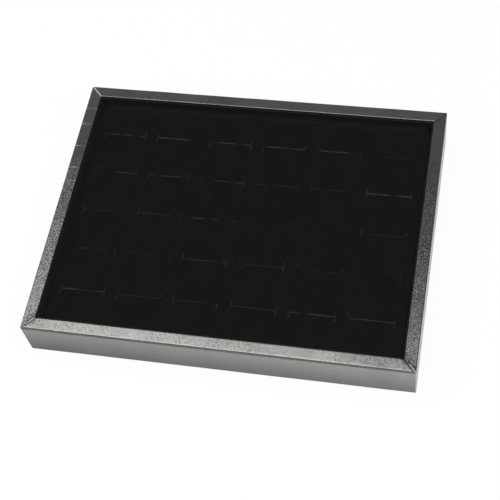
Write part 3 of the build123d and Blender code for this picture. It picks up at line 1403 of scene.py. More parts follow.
        # Starts with the painted shade line under the rim; grime at the seams is added below.
        smudge = self.rim_shade(side) + np.zeros(along.shape)
        for corner, at_end in zip(side.ends, (stations < 0, stations >= 0)):
            look = SEAM_LOOKS[corner]
            shown = look.raw * bell(to_cut, look.raw_width, power=4) * (0.7 + 0.3 * streaks)
            shown = shown * eased((outward - look.bare[0]) / self.bare_fade + 1.0)
            shown = shown * eased((look.bare[1] - outward) / self.bare_fade + 1.0)
            raw += np.where(at_end, shown, 0.0)
            share = 1.0 if side is look.dirtier_side else 0.45
            spread = bell(to_cut, self.blot_reach) * eased(3.0 * patches - 0.8)
            line = bell(to_cut - self.seam_darkening, self.seam_darkening_width) * (0.75 + 0.25 * streaks)
            kept = 1.0 - look.wiped * eased((outward - 0.6) / 0.25)
            darkening = look.smudge * kept * upward * np.maximum(share * spread, line)
            smudge = np.maximum(smudge, np.where(at_end, darkening, 0.0))
        bend = 1.0 - np.max(np.abs(self.face.normals), axis=1)
        rubbed = np.broadcast_to(eased(bend / self.full_bend), along.shape)
        return {
            # The raw edge mark also holds a painted highlight along the crest of each crease.
            "raw_edge": raw + self.crease_highlight * self.creases(side, along) * upward,
            "smudge": smudge,
            "rubbed": rubbed * (0.5 + 0.5 * patches),
            "embossed": self.embossing(side, along),
            "handled": self.painted_shading(side, along, run),
        }

    def rim_shade(self, side: Side) -> Array:
        """Returns the painted shade just under the rim on the outer wall, at each point of the section."""
        look = STRIP_LOOKS[side]
        below = self.sizes.top - self.face.points[:, 1]
        # A dark line painted where the rounded edge would reflect the dark surround.
        return look.darkening * bell(below - look.rim_shade_below, self.rim_shade_width) * self.outer_wall

    def painted_shading(self, side: Side, along: Array, run: Array) -> Array:
        """Painted shade on the outer wall, and on the rim top.

        On the wall it goes evenly from one end to the other, grows toward the foot and drifts by a noise.

        Args:
            side: The side.
            along: Distance along the side.
            run: Length along the section.

        Returns:
            The painted shade at each point, from 0 to 1.
        """
        look = STRIP_LOOKS[side]
        length, _ = self.sizes.spans(side)
        # Painted shade toward the foot, darker where the wall reflects the darker floor next to it.
        retoned = np.interp(along / length, (-0.5, 0.5), look.retoned)
        drift = 1.0 + 0.12 * soft_noise(along, run, 26 * MM, side.value + 17)
        down = 1.0 - self.face.points[:, 1] / self.sizes.top
        toward_foot = retoned + (look.foot_shade + 0.6 * retoned) * down
        # Painted shade on the rim top, darker where the light falls off along the rail.
        shade = np.interp(along / length + 0.5, STRIP_PLACES, look.shade) * (1.0 - self.outer_wall)
        return np.clip(toward_foot * drift, 0.0, 1.0) * self.outer_wall + shade

    def embossing(self, side: Side, along: Array) -> Array:
        """How deep the pebbles are: strips stretched hard over the rail keep less of them.

        Args:
            side: The side.
            along: Distance along the side.

        Returns:
            The depth at each point, from 0 to 1.
        """
        look = STRIP_LOOKS[side]
        length, _ = self.sizes.spans(side)
        depth = np.interp(along / length + 0.5, STRIP_PLACES, look.grain)
        patches = look.patchy * soft_noise(along, np.zeros_like(along), 12 * MM, side.value + 13)
        outside = np.clip(-self.face.normals[:, 0], 0.0, 1.0)
        return np.clip(depth + patches, self.least_grain, 1.0) * (1.0 - self.wall_stretch * outside)

    def cut_area(self, side: Side) -> tuple[float, float, float]:
        """The strip as it was cut.

        Its area is the sum, over the section's steps, of the step times the strip's length there.

        Args:
            side: The side.

        Returns:
            Its length, its width, and its area with both ends cut to the mitre.
        """
        length, _ = self.sizes.spans(side)
        middles = (self.face.points[1:, 0] + self.face.points[:-1, 0]) / 2
        area = float(np.sum(np.diff(self.face.run) * (length - 2 * middles)))
        return length, float(self.face.run[-1]), area

    def build(self) -> Iterator[Piece]:
        """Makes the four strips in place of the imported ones.

        Yields:
            Each strip.
        """
        for side in Side:
            piece = self.skin(side).piece(f"{side.label}_leatherette")
            dress(piece, self.material, Body.TRAY)
            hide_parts(f"{side.label}_wrap")
            length, width, area = self.cut_area(side)
            yield piece


@dataclass
class WallLinings:
    """Velvet on card, glued to the four inner walls: the short ones butt between the long ones.

    Attributes:
        sizes: The tray's sizes.
        material: Their material.
        edge_radius: Radius of the velvet over the card's top edge.
        bevel: Size of the slope between the velvet's cut edge and the wall.
        swell: Height of the velvet's slow waves.
        rubbed: How rubbed the pile is at the pad's face, from 0 to 1.
        rubbed_height: How far up from there the rubbing reaches.
    """

    sizes: TraySizes
    material: Material
    edge_radius: float = 0.5 * MM
    bevel: float = 0.25 * MM
    swell: float = 0.06 * MM
    rubbed: float = 0.75
    rubbed_height: float = 1.6 * MM

    def skin(self, side: Side) -> Skin:
        """The lining of one side: a section up the velvet and over the top, carried along it.

        Args:
            side: The side.

        Returns:
            The lining. Its inner layer is the glued back.
        """
        s = self.sizes
        length, across = s.spans(side)
        butted = side in (Side.LEFT, Side.RIGHT)
        half = length / 2 - (s.lining_in if butted else s.lining_out)
        corners = (
            (s.lining_in, s.base_top),
            (s.lining_in, s.lining_top),
            (s.lining_out + self.bevel, s.lining_top),
        )
        face = wrapped_profile(corners, [self.edge_radius], counts=(26, 3), arc_steps=6)
        back_height = np.linspace(s.base_top, s.lining_top - self.bevel, len(face.points))
        along = graded_lines(-half, half, 1.5 * MM)[:, None]
        height = face.points[:, 1]
        wave = self.swell * soft_noise(along, height + side.value, 9 * MM, side.value + 21)
        moved = face.points + (wave - self.swell)[..., None] * face.normals
        outer = side.placed(along, moved[..., 0], moved[..., 1], across)
        inner = side.placed(along, np.full_like(back_height, s.lining_out), back_height, across)
        uv = np.stack(np.broadcast_arrays(face.run, along + UV_MIDDLE), axis=-1)
        above = np.maximum(height - s.pad_top, 0.0) + np.zeros(along.shape)
        return Skin.gridded(outer, inner, uv, {"rubbed": self.rubbed * np.exp(-above / self.rubbed_height)})

    def build(self) -> Iterator[Piece]:
        """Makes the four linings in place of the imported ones.

        Yields:
            Each lining.
        """
        s = self.sizes
        for side in Side:
            piece = self.skin(side).piece(f"{side.label}_velvet_wall")
            dress(piece, self.material, Body.TRAY)
            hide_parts(f"{side.label}_wall_lining")
            length = s.spans(side)[0] - 2 * s.lining_out
            yield piece


@dataclass
class FloorLining:
    """A sheet of velvet laid on the base, between the wall linings.

    Attributes:
        material: Its material.
        swell: Height of its slow waves.
        step: Largest gap between two grid lines.
    """

    material: Material
    swell: float = 0.08 * MM
    step: float = 2.5 * MM

    def build(self) -> Iterator[Piece]:
        """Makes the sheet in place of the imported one.

        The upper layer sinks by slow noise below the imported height, and the lower one is flat.

        Yields:
            The sheet.
        """
        low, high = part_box("floor_lining")
        x_lines = graded_lines(low.x, high.x, self.step)
        y_lines = graded_lines(low.y, high.y, self.step)
        x, y = np.meshgrid(x_lines, y_lines)
        dip = self.swell * (soft_noise(x, y, 14 * MM, 31) - 1.0) / 2
        outer = np.stack([x, y, high.z + dip], axis=-1)
        inner = np.stack([x, y, np.full(x.shape, low.z)], axis=-1)
        piece = Skin.gridded(outer, inner, outer[..., :2] + UV_MIDDLE).piece("velvet_floor")
        dress(piece, self.material, Body.TRAY)
        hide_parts("floor_lining")
        yield piece


@dataclass
class BottomCover:
    """Felt under the tray: over the turned-under leatherette, and pressed up to the base inside it.

    Attributes:
        sizes: The tray's sizes.
        material: Its material.
        thickness: Thickness of the felt.
        turn_under: How far in the leatherette is turned under.
        step_width: How far the felt takes to climb from the leatherette to the base.
        corner_radius: Radius of the felt's corners.
        edge_radius: Radius of its cut edge.
        swell: Height of its slow waves.
        step: Largest gap between two grid lines.
    """

    sizes: TraySizes
    material: Material
    thickness: float = 0.6 * MM
    turn_under: float = 12.0 * MM
    step_width: float = 2.6 * MM
    corner_radius: float = 2.0 * MM
    edge_radius: float = 0.2 * MM
    swell: float = 0.03 * MM
    step: float = 2.5 * MM

    def skin(self, low: Vector, high: Vector) -> Skin:
        """The felt, whose outer layer is the one below.

        That layer is at zero out to the step and eases up by the leatherette's thickness inside
        it, less at the cut edge, which is turned up a little.

        Args:
            low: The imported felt's low corner.
            high: Its high corner.

        Returns:
            The felt.
        """
        band = self.turn_under - (self.sizes.length / 2 - high.x)
        rim = np.array([0.1, 0.25, 0.5, 0.9, 1.4, 2.0]) * MM
        near = np.concatenate([rim, band + np.linspace(-1, 4, 11) * MM])
        lines = [
            graded_lines(start, stop, self.step, np.concatenate([start + near, stop - near]))
            for start, stop in ((low.x, high.x), (low.y, high.y))
        ]
        flat_x, flat_y = np.meshgrid(*lines)
        inset = np.minimum(high.x - np.abs(flat_x), high.y - np.abs(flat_y))
        x, y = rounded_plan(*lines, self.corner_radius)
        rise = high.z - self.thickness - low.z
        climbed = rise * eased((inset - band) / self.step_width)
        turned = self.edge_radius * np.clip(1.0 - inset / self.edge_radius, 0.0, 1.0) ** 2
        wave = self.swell * (soft_noise(x, y, 8 * MM, 41) + 1.0) * eased(inset / (2 * MM))
        under = np.stack([x, y, low.z + climbed + turned + wave], axis=-1)
        upper = np.stack([x, y, low.z + self.thickness + climbed], axis=-1)
        skin = Skin.gridded(under, upper, under[..., :2] + UV_MIDDLE)
        skin.faces = skin.faces[:, ::-1]
        return skin

    def build(self) -> Iterator[Piece]:
        """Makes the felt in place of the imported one.

        Yields:
            The felt.
        """
        low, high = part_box("bottom_cover")
        piece = self.skin(low, high).piece("felt_base")
        dress(piece, self.material, Body.TRAY)
        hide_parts("bottom_cover")
        yield piece


class Draw(Enum):
    """What differs from one ring cut to the next, each with what it adds to the cuts' seed."""

    SHIFT_ALONG = 1
    SHIFT_ACROSS = 2
    SLANT = 3
    TIGHTNESS = 4
    LIP_LIFT = 11
    BAR_LINT_AND_HIGHLIGHT = 200
    SLIT_LINT_AND_HIGHLIGHT = 1359


@dataclass(frozen=True)
class RingCuts:
    """The cuts that take the rings, each a slit along X with a short bar across either end.

    Attributes:
        columns: Number of cuts along X.
        rows: Number of cuts along Y.
        column_pitch: Distance from one cut's middle to the next along X.
        row_pitch: Distance from one row to the next.
        slit: Length of a slit.
        bar: Length of an end bar.
        gap: Width of a cut.
        seed: Seed of the cuts' differences.
        stray_along: Farthest that a cut lies off its place along X.
        stray_across: Farthest that it lies off its place along Y.
        slant: Steepest slant of a slit.
        tightness: How far open the tightest and the loosest cut are.
        wander: How far a slit wanders to either side.
        wander_cell: Distance along it from one wander to the next.
        held_reach: Distance from a row's line up to which the pad moves with its cuts.
        fade_reach: Distance beyond that over which the move fades out.
        give: Distance beside a cut over which the pad gives as the cut shuts.
        end_give: The same past the ends of a bar.
    """

    columns: int = 6
    rows: int = 5
    column_pitch: float = 34.4 * MM
    row_pitch: float = 28.5 * MM
    slit: float = 26.7 * MM
    bar: float = 6.6 * MM
    gap: float = 0.5 * MM
    seed: int = 7
    stray_along: float = 0.35 * MM
    stray_across: float = 0.3 * MM
    slant: float = 0.012
    tightness: tuple[float, float] = (0.1, 0.5)
    wander: float = 0.09 * MM
    wander_cell: float = 5.0 * MM
    held_reach: float = 3.6 * MM
    fade_reach: float = 8.0 * MM
    give: float = 1.6 * MM
    end_give: float = 1.2 * MM

    @property
    def column_places(self) -> Array:
        """The X of each column."""
        return (np.arange(self.columns) - (self.columns - 1) / 2) * self.column_pitch

    @property
    def row_places(self) -> Array:
        """The Y of each row."""
        return (np.arange(self.rows) - (self.rows - 1) / 2) * self.row_pitch

    @property
    def bar_places(self) -> Array:
        """The X of each end bar."""
        return np.concatenate([self.column_places - self.slit / 2, self.column_places + self.slit / 2])

    def lines(self, steps: Array) -> tuple[Array, Array]:
        """Grid lines beside the cuts.

        Args:
            steps: Distances from a cut's edge at which a line lies.

        Returns:
            The places of lines across X and across Y.
        """
        beside, ends = self.gap / 2 + steps, self.bar / 2 + steps
        beside = np.concatenate([-beside, beside])
        ends = np.concatenate([-ends, ends])
        x_places = (self.bar_places[:, None] + beside).ravel()
        y_places = (self.row_places[:, None] + np.concatenate([beside, ends])).ravel()
        return x_places, y_places

    def open_cells(self, x_lines: Array, y_lines: Array) -> Array:
        """True for each grid cell whose middle lies in a cut."""
        x, y = np.meshgrid((x_lines[1:] + x_lines[:-1]) / 2, (y_lines[1:] + y_lines[:-1]) / 2)
        return self.distance(x, y)[0] < 0.0

    def distance(self, x: Array, y: Array) -> tuple[Array, Array]:
        """Distance to the nearest cut's edge, below zero inside it, and that cut's number.

        Args:
            x: X of each point.
            y: Y of each point.

        Returns:
            The distance and the number, row by row from the front left.
        """
        best = np.full(x.shape, np.inf)
        number = np.zeros(x.shape, int)
        for row, row_y in enumerate(self.row_places):
            for column, column_x in enumerate(self.column_places):
                off_x, off_y = np.abs(x - column_x), np.abs(y - row_y)
                slit = box_distance(off_x, off_y, (self.slit + self.gap) / 2, self.gap / 2)
                bar = box_distance(np.abs(off_x - self.slit / 2), off_y, self.gap / 2, self.bar / 2)
                reach = np.minimum(slit, bar)
                number = np.where(reach < best, row * self.columns + column, number)
                best = np.minimum(best, reach)
        return best, number

    def differences(self, low: float, high: float, draw: Draw) -> Array:
        """Returns one seeded number for each cut, between two limits, row by row."""
        random = np.random.default_rng(self.seed + draw.value)
        return random.uniform(low, high, self.rows * self.columns)

    def drawn_in(self, off: Array) -> Array:
        """How far points move in as a cut shuts: by half its width at its edge, less beyond.

        Args:
            off: Distance off the cut's middle line, below zero on one side.

        Returns:
            The move, with the sign of the distance.
        """
        whole = np.sign(off) * np.minimum(np.abs(off), self.gap / 2)
        return whole * (1.0 - eased((np.abs(off) - self.gap / 2) / self.give))

    def strayed(self, x: Array, y: Array) -> tuple[Array, Array]:
        """Moves the points near each cut, because the cuts were made by hand.

        Each cut has its own shift, slant and tightness. Along X they are joined between the cuts
        by eased steps, and across Y they fade out within half a row.

        Args:
            x: X of each point.
            y: Y of each point.

        Returns:
            The moved X and Y.
        """
        by_row = (self.rows, self.columns)
        shift_x = self.differences(-self.stray_along, self.stray_along, Draw.SHIFT_ALONG).reshape(by_row)
        shift_y = self.differences(-self.stray_across, self.stray_across, Draw.SHIFT_ACROSS).reshape(by_row)
        slant = self.differences(-self.slant, self.slant, Draw.SLANT).reshape(by_row)
        tight = self.differences(*self.tightness, Draw.TIGHTNESS).reshape(by_row)
        column = (x - self.column_places[0]) / self.column_pitch
        left = np.clip(np.floor(column).astype(int), 0, self.columns - 2)
        right = left + 1
        room = 1.0 - self.slit / self.column_pitch
        share = eased((column - left - 0.5 + room * 0.4) / (room * 0.8))
        on_left, on_right = x - self.column_places[left], x - self.column_places[right]
        nearest = np.argmin(np.abs(x[..., None] - self.bar_places), axis=-1)
        off_bar = x - self.bar_places[nearest]

        def between(at_left: Array, at_right: Array) -> Array:
            """Carries the left cut's value to the right one's."""
            return at_left * (1 - share) + at_right * share

        moved_x, moved_y = x.copy(), y.copy()
        for row, row_y in enumerate(self.row_places):
            off_y = y - row_y
            fade = 1.0 - eased((np.abs(off_y) - self.held_reach) / self.fade_reach)
            down_left = shift_y[row][left] + slant[row][left] * on_left
            down_right = shift_y[row][right] + slant[row][right] * on_right
            wander = self.wander * soft_noise(x, np.full_like(x, row_y), self.wander_cell, self.seed + row)
            shut = 1.0 - between(tight[row][left], tight[row][right])
            past_bar = eased((np.abs(off_y) - self.bar / 2) / self.end_give)
            on_slit = np.abs(off_y) <= self.gap / 2 + 0.01 * MM
            to_bar = np.where(on_slit, 0.0, self.drawn_in(off_bar) * (1.0 - past_bar))
            moved_x += between(shift_x[row][left], shift_x[row][right]) * fade - to_bar * shut
            moved_y += (between(down_left, down_right) + wander) * fade - self.drawn_in(off_y) * shut
        return moved_x, moved_y


@dataclass
class RingPad:
    """The loose pad: cut foam on greyboard, covered with velvet turned in under the board.

    Attributes:
        cuts: Where the ring cuts are.
        velvet_material: The cover's material.
        foam_material: The foam's material.
        thickness: Thickness of the velvet.
        corner_radius: Radius of the pad's upright corners.
        edge_radius: Radius over its top edge.
        foot_radius: Radius at its foot.
        least_radius: Smallest radius of the velvet's back.
        least_turn: Smallest radius of the upright corners where the velvet is turned in.
        turn_in: How far in the velvet is turned under the board.
        shoulder: How far the top falls towards its edge.
        shoulder_width: Distance over which it falls.
        wave: Height of the slow waves of the top.
        ripple: Height of its shorter ones.
        calm: Distance from the border over which both die away.
        bulge: How far the velvet stands out at the sides.
        side_wave: How far that varies.
        lip_lift: Height of the lowest and the highest lip beside a cut.
        lip_reach: Distance from a cut to the top of its raised lip.
        lip_turn: How far the velvet is drawn down at the cut.
        lip_edge: Distance from the cut over which it is drawn down, paler with lint and painted highlight.
        slit_lint_and_highlight: Least and most lint with painted highlight on a slit, from 0 to 1.
        bar_lint_and_highlight: Least and most lint with painted highlight on a bar, from 0 to 1.
        step: Largest gap between two grid lines.
        foam_step: The same on the foam.
        foam_clear: Gap between the foam and its packed size.
        foam_sag: How far the foam's top is sunk at the least.
        foam_cells: How far its cells roughen that.
    """

    cuts: RingCuts
    velvet_material: Material
    foam_material: Material
    thickness: float = 0.75 * MM
    corner_radius: float = 2.4 * MM
    edge_radius: float = 0.8 * MM
    foot_radius: float = 0.9 * MM
    least_radius: float = 0.05 * MM
    least_turn: float = 0.35 * MM
    turn_in: float = 12.0 * MM
    shoulder: float = 0.1 * MM
    shoulder_width: float = 4.5 * MM
    wave: float = 0.12 * MM
    ripple: float = 0.05 * MM
    calm: float = 6.0 * MM
    bulge: float = 0.33 * MM
    side_wave: float = 0.05 * MM
    lip_lift: tuple[float, float] = (0.05 * MM, 0.18 * MM)
    lip_reach: float = 0.5 * MM
    lip_turn: float = 0.22 * MM
    lip_edge: float = 0.2 * MM
    slit_lint_and_highlight: tuple[float, float] = (0.02, 0.8)
    bar_lint_and_highlight: tuple[float, float] = (0.1, 0.52)
    step: float = 1.7 * MM
    foam_step: float = 5.0 * MM
    foam_clear: float = 0.05 * MM
    foam_sag: float = 0.25 * MM
    foam_cells: float = 0.1 * MM

    def grid(self, half_x: float, half_y: float, radius: float) -> tuple[Array, Array]:
        """Grid lines over the pad's top, close beside the cuts and at the corners.

        Args:
            half_x: Half the top's size along X.
            half_y: Half its size along Y.
            radius: Radius of its corners.

        Returns:
            The lines across X and across Y.
        """
        near = self.cuts.lines(np.array([0.0, 0.1, 0.2, 0.36, 0.66, 1.1, 1.9]) * MM)
        rounded = radius * np.array([0.2, 0.4, 0.6, 0.8, 1.0])
        return tuple(
            graded_lines(-half, half, self.step, np.concatenate([places, half - rounded, rounded - half]))
            for half, places in zip((half_x, half_y), near)
        )

    def velvet(self) -> Skin:
        """The velvet cover as one sheet: the top, the sides and the part turned in.

        The top is a grid with the cuts left open. The sides and the turned-in part are loops that
        leave its border: each keeps a border point's place on the straight sides, or its angle
        round a corner, while the plan's half sizes and corner radius follow the side's section.

        Returns:
            The cover.
        """
        _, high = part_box("pad_velvet")
        half_x, half_y = high.x - self.edge_radius, high.y - self.edge_radius
        top_radius = self.corner_radius - self.edge_radius
        x_lines, y_lines = self.grid(half_x, half_y, top_radius)
        flat_x, flat_y = np.meshgrid(x_lines, y_lines)
        away, number = self.cuts.distance(flat_x, flat_y)
        rise, lint = self.lips(flat_x, flat_y, np.maximum(away, 0.0), number)
        border = np.minimum(half_x - np.abs(flat_x), half_y - np.abs(flat_y))
        slow = self.wave * soft_noise(flat_x, flat_y, 23 * MM, 51)
        slow += self.ripple * soft_noise(flat_x, flat_y, 7 * MM, 52)
        fall = self.shoulder * (1.0 - eased(border / self.shoulder_width))
        level = high.z - fall + (slow - self.wave) * eased(border / self.calm)
        plan_x, plan_y = self.cuts.strayed(*rounded_plan(x_lines, y_lines, top_radius))
        top = np.stack([plan_x, plan_y, level + rise], axis=-1)
        beneath = np.stack([plan_x, plan_y, level - self.thickness], axis=-1)
        rows, columns = flat_x.shape
        faces = grid_faces(rows, columns, ~self.cuts.open_cells(x_lines, y_lines))
        loop = self.border_loop(rows, columns)
        sides_out = self.side_loops(loop, x_lines, y_lines, 0.0)
        sides_in = self.side_loops(loop, x_lines, y_lines, self.thickness)
        steps = len(sides_out)
        lower = rows * columns + np.arange(steps * len(loop)).reshape(steps, len(loop))
        rings = np.concatenate([loop[None, :], lower])
        ahead = np.roll(rings, -1, axis=1)
        walls = np.stack([ahead[:-1], rings[:-1], rings[1:], ahead[1:]], axis=-1).reshape(-1, 4)
        outer = np.concatenate([top.reshape(-1, 3), sides_out.reshape(-1, 3)])
        inner = np.concatenate([beneath.reshape(-1, 3), sides_in.reshape(-1, 3)])
        top_worn, side_worn = self.edge_wear(border)
        marks = {
            "cut_lip": np.concatenate([lint.ravel(), np.zeros(lower.size)]),
            "rubbed": np.concatenate([top_worn.ravel(), np.full(lower.size, side_worn)]),
        }
        return Skin(outer, inner, np.concatenate([faces, walls]), outer[:, :2] + UV_MIDDLE, marks)

    def edge_wear(self, border: Array) -> tuple[Array, float]:
        """How rubbed the velvet is: a line along the edge over a band as wide as the shoulder.

        Args:
            border: Distance from the flat top's border.

        Returns:
            The wear of the top at each point, and that of the sides, from 0 to 1.
        """
        line, band = 0.45, 0.3
        top_worn = line * np.exp(-border / (0.7 * MM)) + band * bell(border, self.shoulder_width)
        return top_worn, line + band

    def border_loop(self, rows: int, columns: int) -> Array:
        """Numbers of a grid's border points, anticlockwise seen from above."""
        numbers = np.arange(rows * columns).reshape(rows, columns)
        sides = (numbers[0, :-1], numbers[:-1, -1], numbers[-1, :0:-1], numbers[:0:-1, 0])
        return np.concatenate(sides)

    def side_loops(self, loop: Array, x_lines: Array, y_lines: Array, depth: float) -> Array:
        """Loops of points down the pad's sides and in under its board.

        A point is its corner's middle plus the corner's radius and the bulge, times its way out.

        Args:
            loop: Numbers of the top grid's border points.
            x_lines: The top's grid lines across X.
            y_lines: Its grid lines across Y.
            depth: Depth below the velvet's face.

        Returns:
            The loops, each as long as the border, from the top edge down.
        """
        low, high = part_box("pad_velvet")
        level = high.z - self.shoulder
        corners = (
            (self.edge_radius, level - depth),
            (depth, level - depth),
            (depth, low.z + depth),
            (self.turn_in, low.z + depth),
        )
        radii = [max(radius - depth, self.least_radius) for radius in (self.edge_radius, self.foot_radius)]
        path = wrapped_profile(corners, radii, counts=(1, 12, 9), arc_steps=7)
        inset, height = path.points[1:].T
        radius = self.corner_radius - self.edge_radius
        core_x, core_y = x_lines[-1] - radius, y_lines[-1] - radius
        flat_x, flat_y = (flat.ravel()[loop] for flat in np.meshgrid(x_lines, y_lines))
        plan_x, plan_y = (plan.ravel()[loop] for plan in rounded_plan(x_lines, y_lines, radius))
        middle_x, middle_y = np.clip(flat_x, -core_x, core_x), np.clip(flat_y, -core_y, core_y)
        way_x, way_y = (plan_x - middle_x) / radius, (plan_y - middle_y) / radius
        turn = np.maximum(self.corner_radius - inset, self.least_turn)[:, None]
        out_x = (high.x - inset)[:, None] - turn
        out_y = (high.y - inset)[:, None] - turn
        around = np.arange(len(loop)) * self.step
        bulge = self.bulge + self.side_wave * soft_noise(around[None, :], height[:, None], 11 * MM, 61)
        on_side = eased((height - low.z) / (3 * MM)) * eased((level - height) / (0.7 * MM))
        reach = turn + bulge * on_side[:, None]
        x = middle_x / core_x * out_x + way_x * reach
        y = middle_y / core_y * out_y + way_y * reach
        return np.stack(np.broadcast_arrays(x, y, height[:, None]), axis=-1)

    def lips(self, x: Array, y: Array, away: Array, number: Array) -> tuple[Array, Array]:
        """Height of the velvet beside the cuts, and its lint with a painted highlight.

        The height rises with the distance from the cut to a lip and then dies away, and right at
        the cut it is drawn down. Each cut has its own lift and its own lint with painted highlight, which
        also vary along it.

        Args:
            x: X of each point.
            y: Y of each point.
            away: Distance to the nearest cut.
            number: That cut's number.

        Returns:
            The height to add, and the lint with painted highlight, from 0 to 1.
        """
        lift = self.cuts.differences(*self.lip_lift, Draw.LIP_LIFT)[number]
        on_slit = self.cuts.differences(*self.slit_lint_and_highlight, Draw.SLIT_LINT_AND_HIGHLIGHT)[number]
        on_bar = self.cuts.differences(*self.bar_lint_and_highlight, Draw.BAR_LINT_AND_HIGHLIGHT)[number]
        at_cut = bell(away, self.lip_edge)
        share = away / self.lip_reach
        rise = lift * share * np.exp(1.0 - share) - self.lip_turn * at_cut
        to_bar = np.min(np.abs(x[..., None] - self.cuts.bar_places), axis=-1)
        # Paleness at the cut lips: cut fibres with a painted highlight where they catch the light.
        lint_and_highlight = on_bar + (on_slit - on_bar) * eased(to_bar / MM)
        return rise, lint_and_highlight * eased(1.5 * soft_share(x, y, 4.2 * MM, 53) - 0.1) * at_cut

    def foam(self) -> Skin:
        """The foam block: a grid over its top and its bottom, with the cuts left open.

        Returns:
            The block.
        """
        low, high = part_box("pad_foam")
        clear = self.foam_clear
        x_near, y_near = self.cuts.lines(np.array([0.0, 0.5]) * MM)
        x_lines = graded_lines(low.x + clear, high.x - clear, self.foam_step, x_near)
        y_lines = graded_lines(low.y + clear, high.y - clear, self.foam_step, y_near)
        x, y = np.meshgrid(x_lines, y_lines)
        moved_x, moved_y = self.cuts.strayed(x, y)
        sag = self.foam_sag + self.foam_cells * (soft_noise(x, y, 3 * MM, 71) + 1.0)
        outer = np.stack([moved_x, moved_y, high.z - sag], axis=-1)
        inner = np.stack([moved_x, moved_y, np.full(x.shape, low.z)], axis=-1)
        keep = ~self.cuts.open_cells(x_lines, y_lines)
        return Skin.gridded(outer, inner, outer[..., :2] + UV_MIDDLE, keep=keep)

    def build(self) -> Iterator[Piece]:
        """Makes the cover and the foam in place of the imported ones.

        Yields:
            The cover, then the foam.
        """
        cover = self.velvet().piece("ring_pad_velvet")
        dress(cover, self.velvet_material, Body.PAD)
        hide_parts("pad_velvet")
        yield cover
        block = self.foam().piece("ring_pad_foam")
        dress(block, self.foam_material, Body.PAD)
        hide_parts("pad_foam")
        yield block


@dataclass
class Joinery:
    """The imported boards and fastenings, which keep their meshes and get their finishes here.

    Attributes:
        nodes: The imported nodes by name.
    """

    nodes: Mapping[str, Piece]

    def build(self) -> Iterator[Piece]:
        """Faces each board and fastening.

        Yields:
            Each board and fastening.
        """
        rails, steel = RAIL_BOARD.material(), Wire().material()
        faced = {f"{side.label}_rail": rails for side in Side}
        faced |= {"corner_v_nails": steel, "base_brads": steel}
        faced |= {"base_panel": HARDBOARD.material(), "pad_backing_board": GREYBOARD.material()}
        for name, material in faced.items():
            for held in self.nodes[name].material_slots:
                held.material = material
            yield self.nodes[name]


@dataclass(frozen=True)
class Softbox:
    """A rectangular studio light that shines straight down.

    Attributes:
        name: The lamp's name.
        place: Its middle.
        turn: Its turn about Z, in degrees.
        size: Its two sizes.
        radiance: How bright its face is, where 1 is white.
    """

    name: str
    place: tuple[float, float, float]
    turn: float
    size: tuple[float, float]
    radiance: float

    def light(self) -> None:
        """Hangs the lamp. Its power is its radiance times pi times its area."""
        lamp = bpy.data.lights.new(self.name, "AREA")
        lamp.shape = "RECTANGLE"
        lamp.size, lamp.size_y = self.size
        lamp.energy = self.radiance * math.pi * self.size[0] * self.size[1]
        hung = bpy.data.objects.new(self.name, lamp)
        hung.location = self.place
        hung.rotation_euler = (0.0, 0.0, math.radians(self.turn))
        bpy.context.scene.collection.objects.link(hung)


@dataclass(frozen=True)
class Viewpoint:
    """Where the camera stands and how it is held.

    Attributes:
        place: The camera's place.
        azimuth: Its bearing about Z, in degrees, where 0 looks along +Y.
        elevation: Its height above the horizon, in degrees.
        roll: Its turn about its own line of sight, in degrees.
        lens: Focal length, in millimetres.
        sensor: Width of the sensor, in millimetres.
        nearest: Distance at which it starts to see.
    """

    place: tuple[float, float, float] = (0.139757, -0.367635, 0.631628)
    azimuth: float = 20.5808
    elevation: float = 58.5732
    roll: float = -12.1790
    lens: float = 86.4
    sensor: float = 36.0
    nearest: float = 0.01

    def stand(self) -> None:
        """Sets up the scene's camera, which looks straight down before its three turns."""
        turned = Matrix.Translation(self.place)
        turns = ((self.azimuth, "Z"), (90.0 - self.elevation, "X"), (self.roll, "Z"))
        for angle, axis in turns:
            turned = turned @ Matrix.Rotation(math.radians(angle), 4, axis)
        data = bpy.data.cameras.new("studio_camera")
        data.lens = self.lens
        data.sensor_width = self.sensor
        data.sensor_fit = "HORIZONTAL"
        data.clip_start = self.nearest
        camera = bpy.data.objects.new("studio_camera", data)
        camera.matrix_world = turned
        bpy.context.scene.collection.objects.link(camera)
        bpy.context.scene.camera = camera


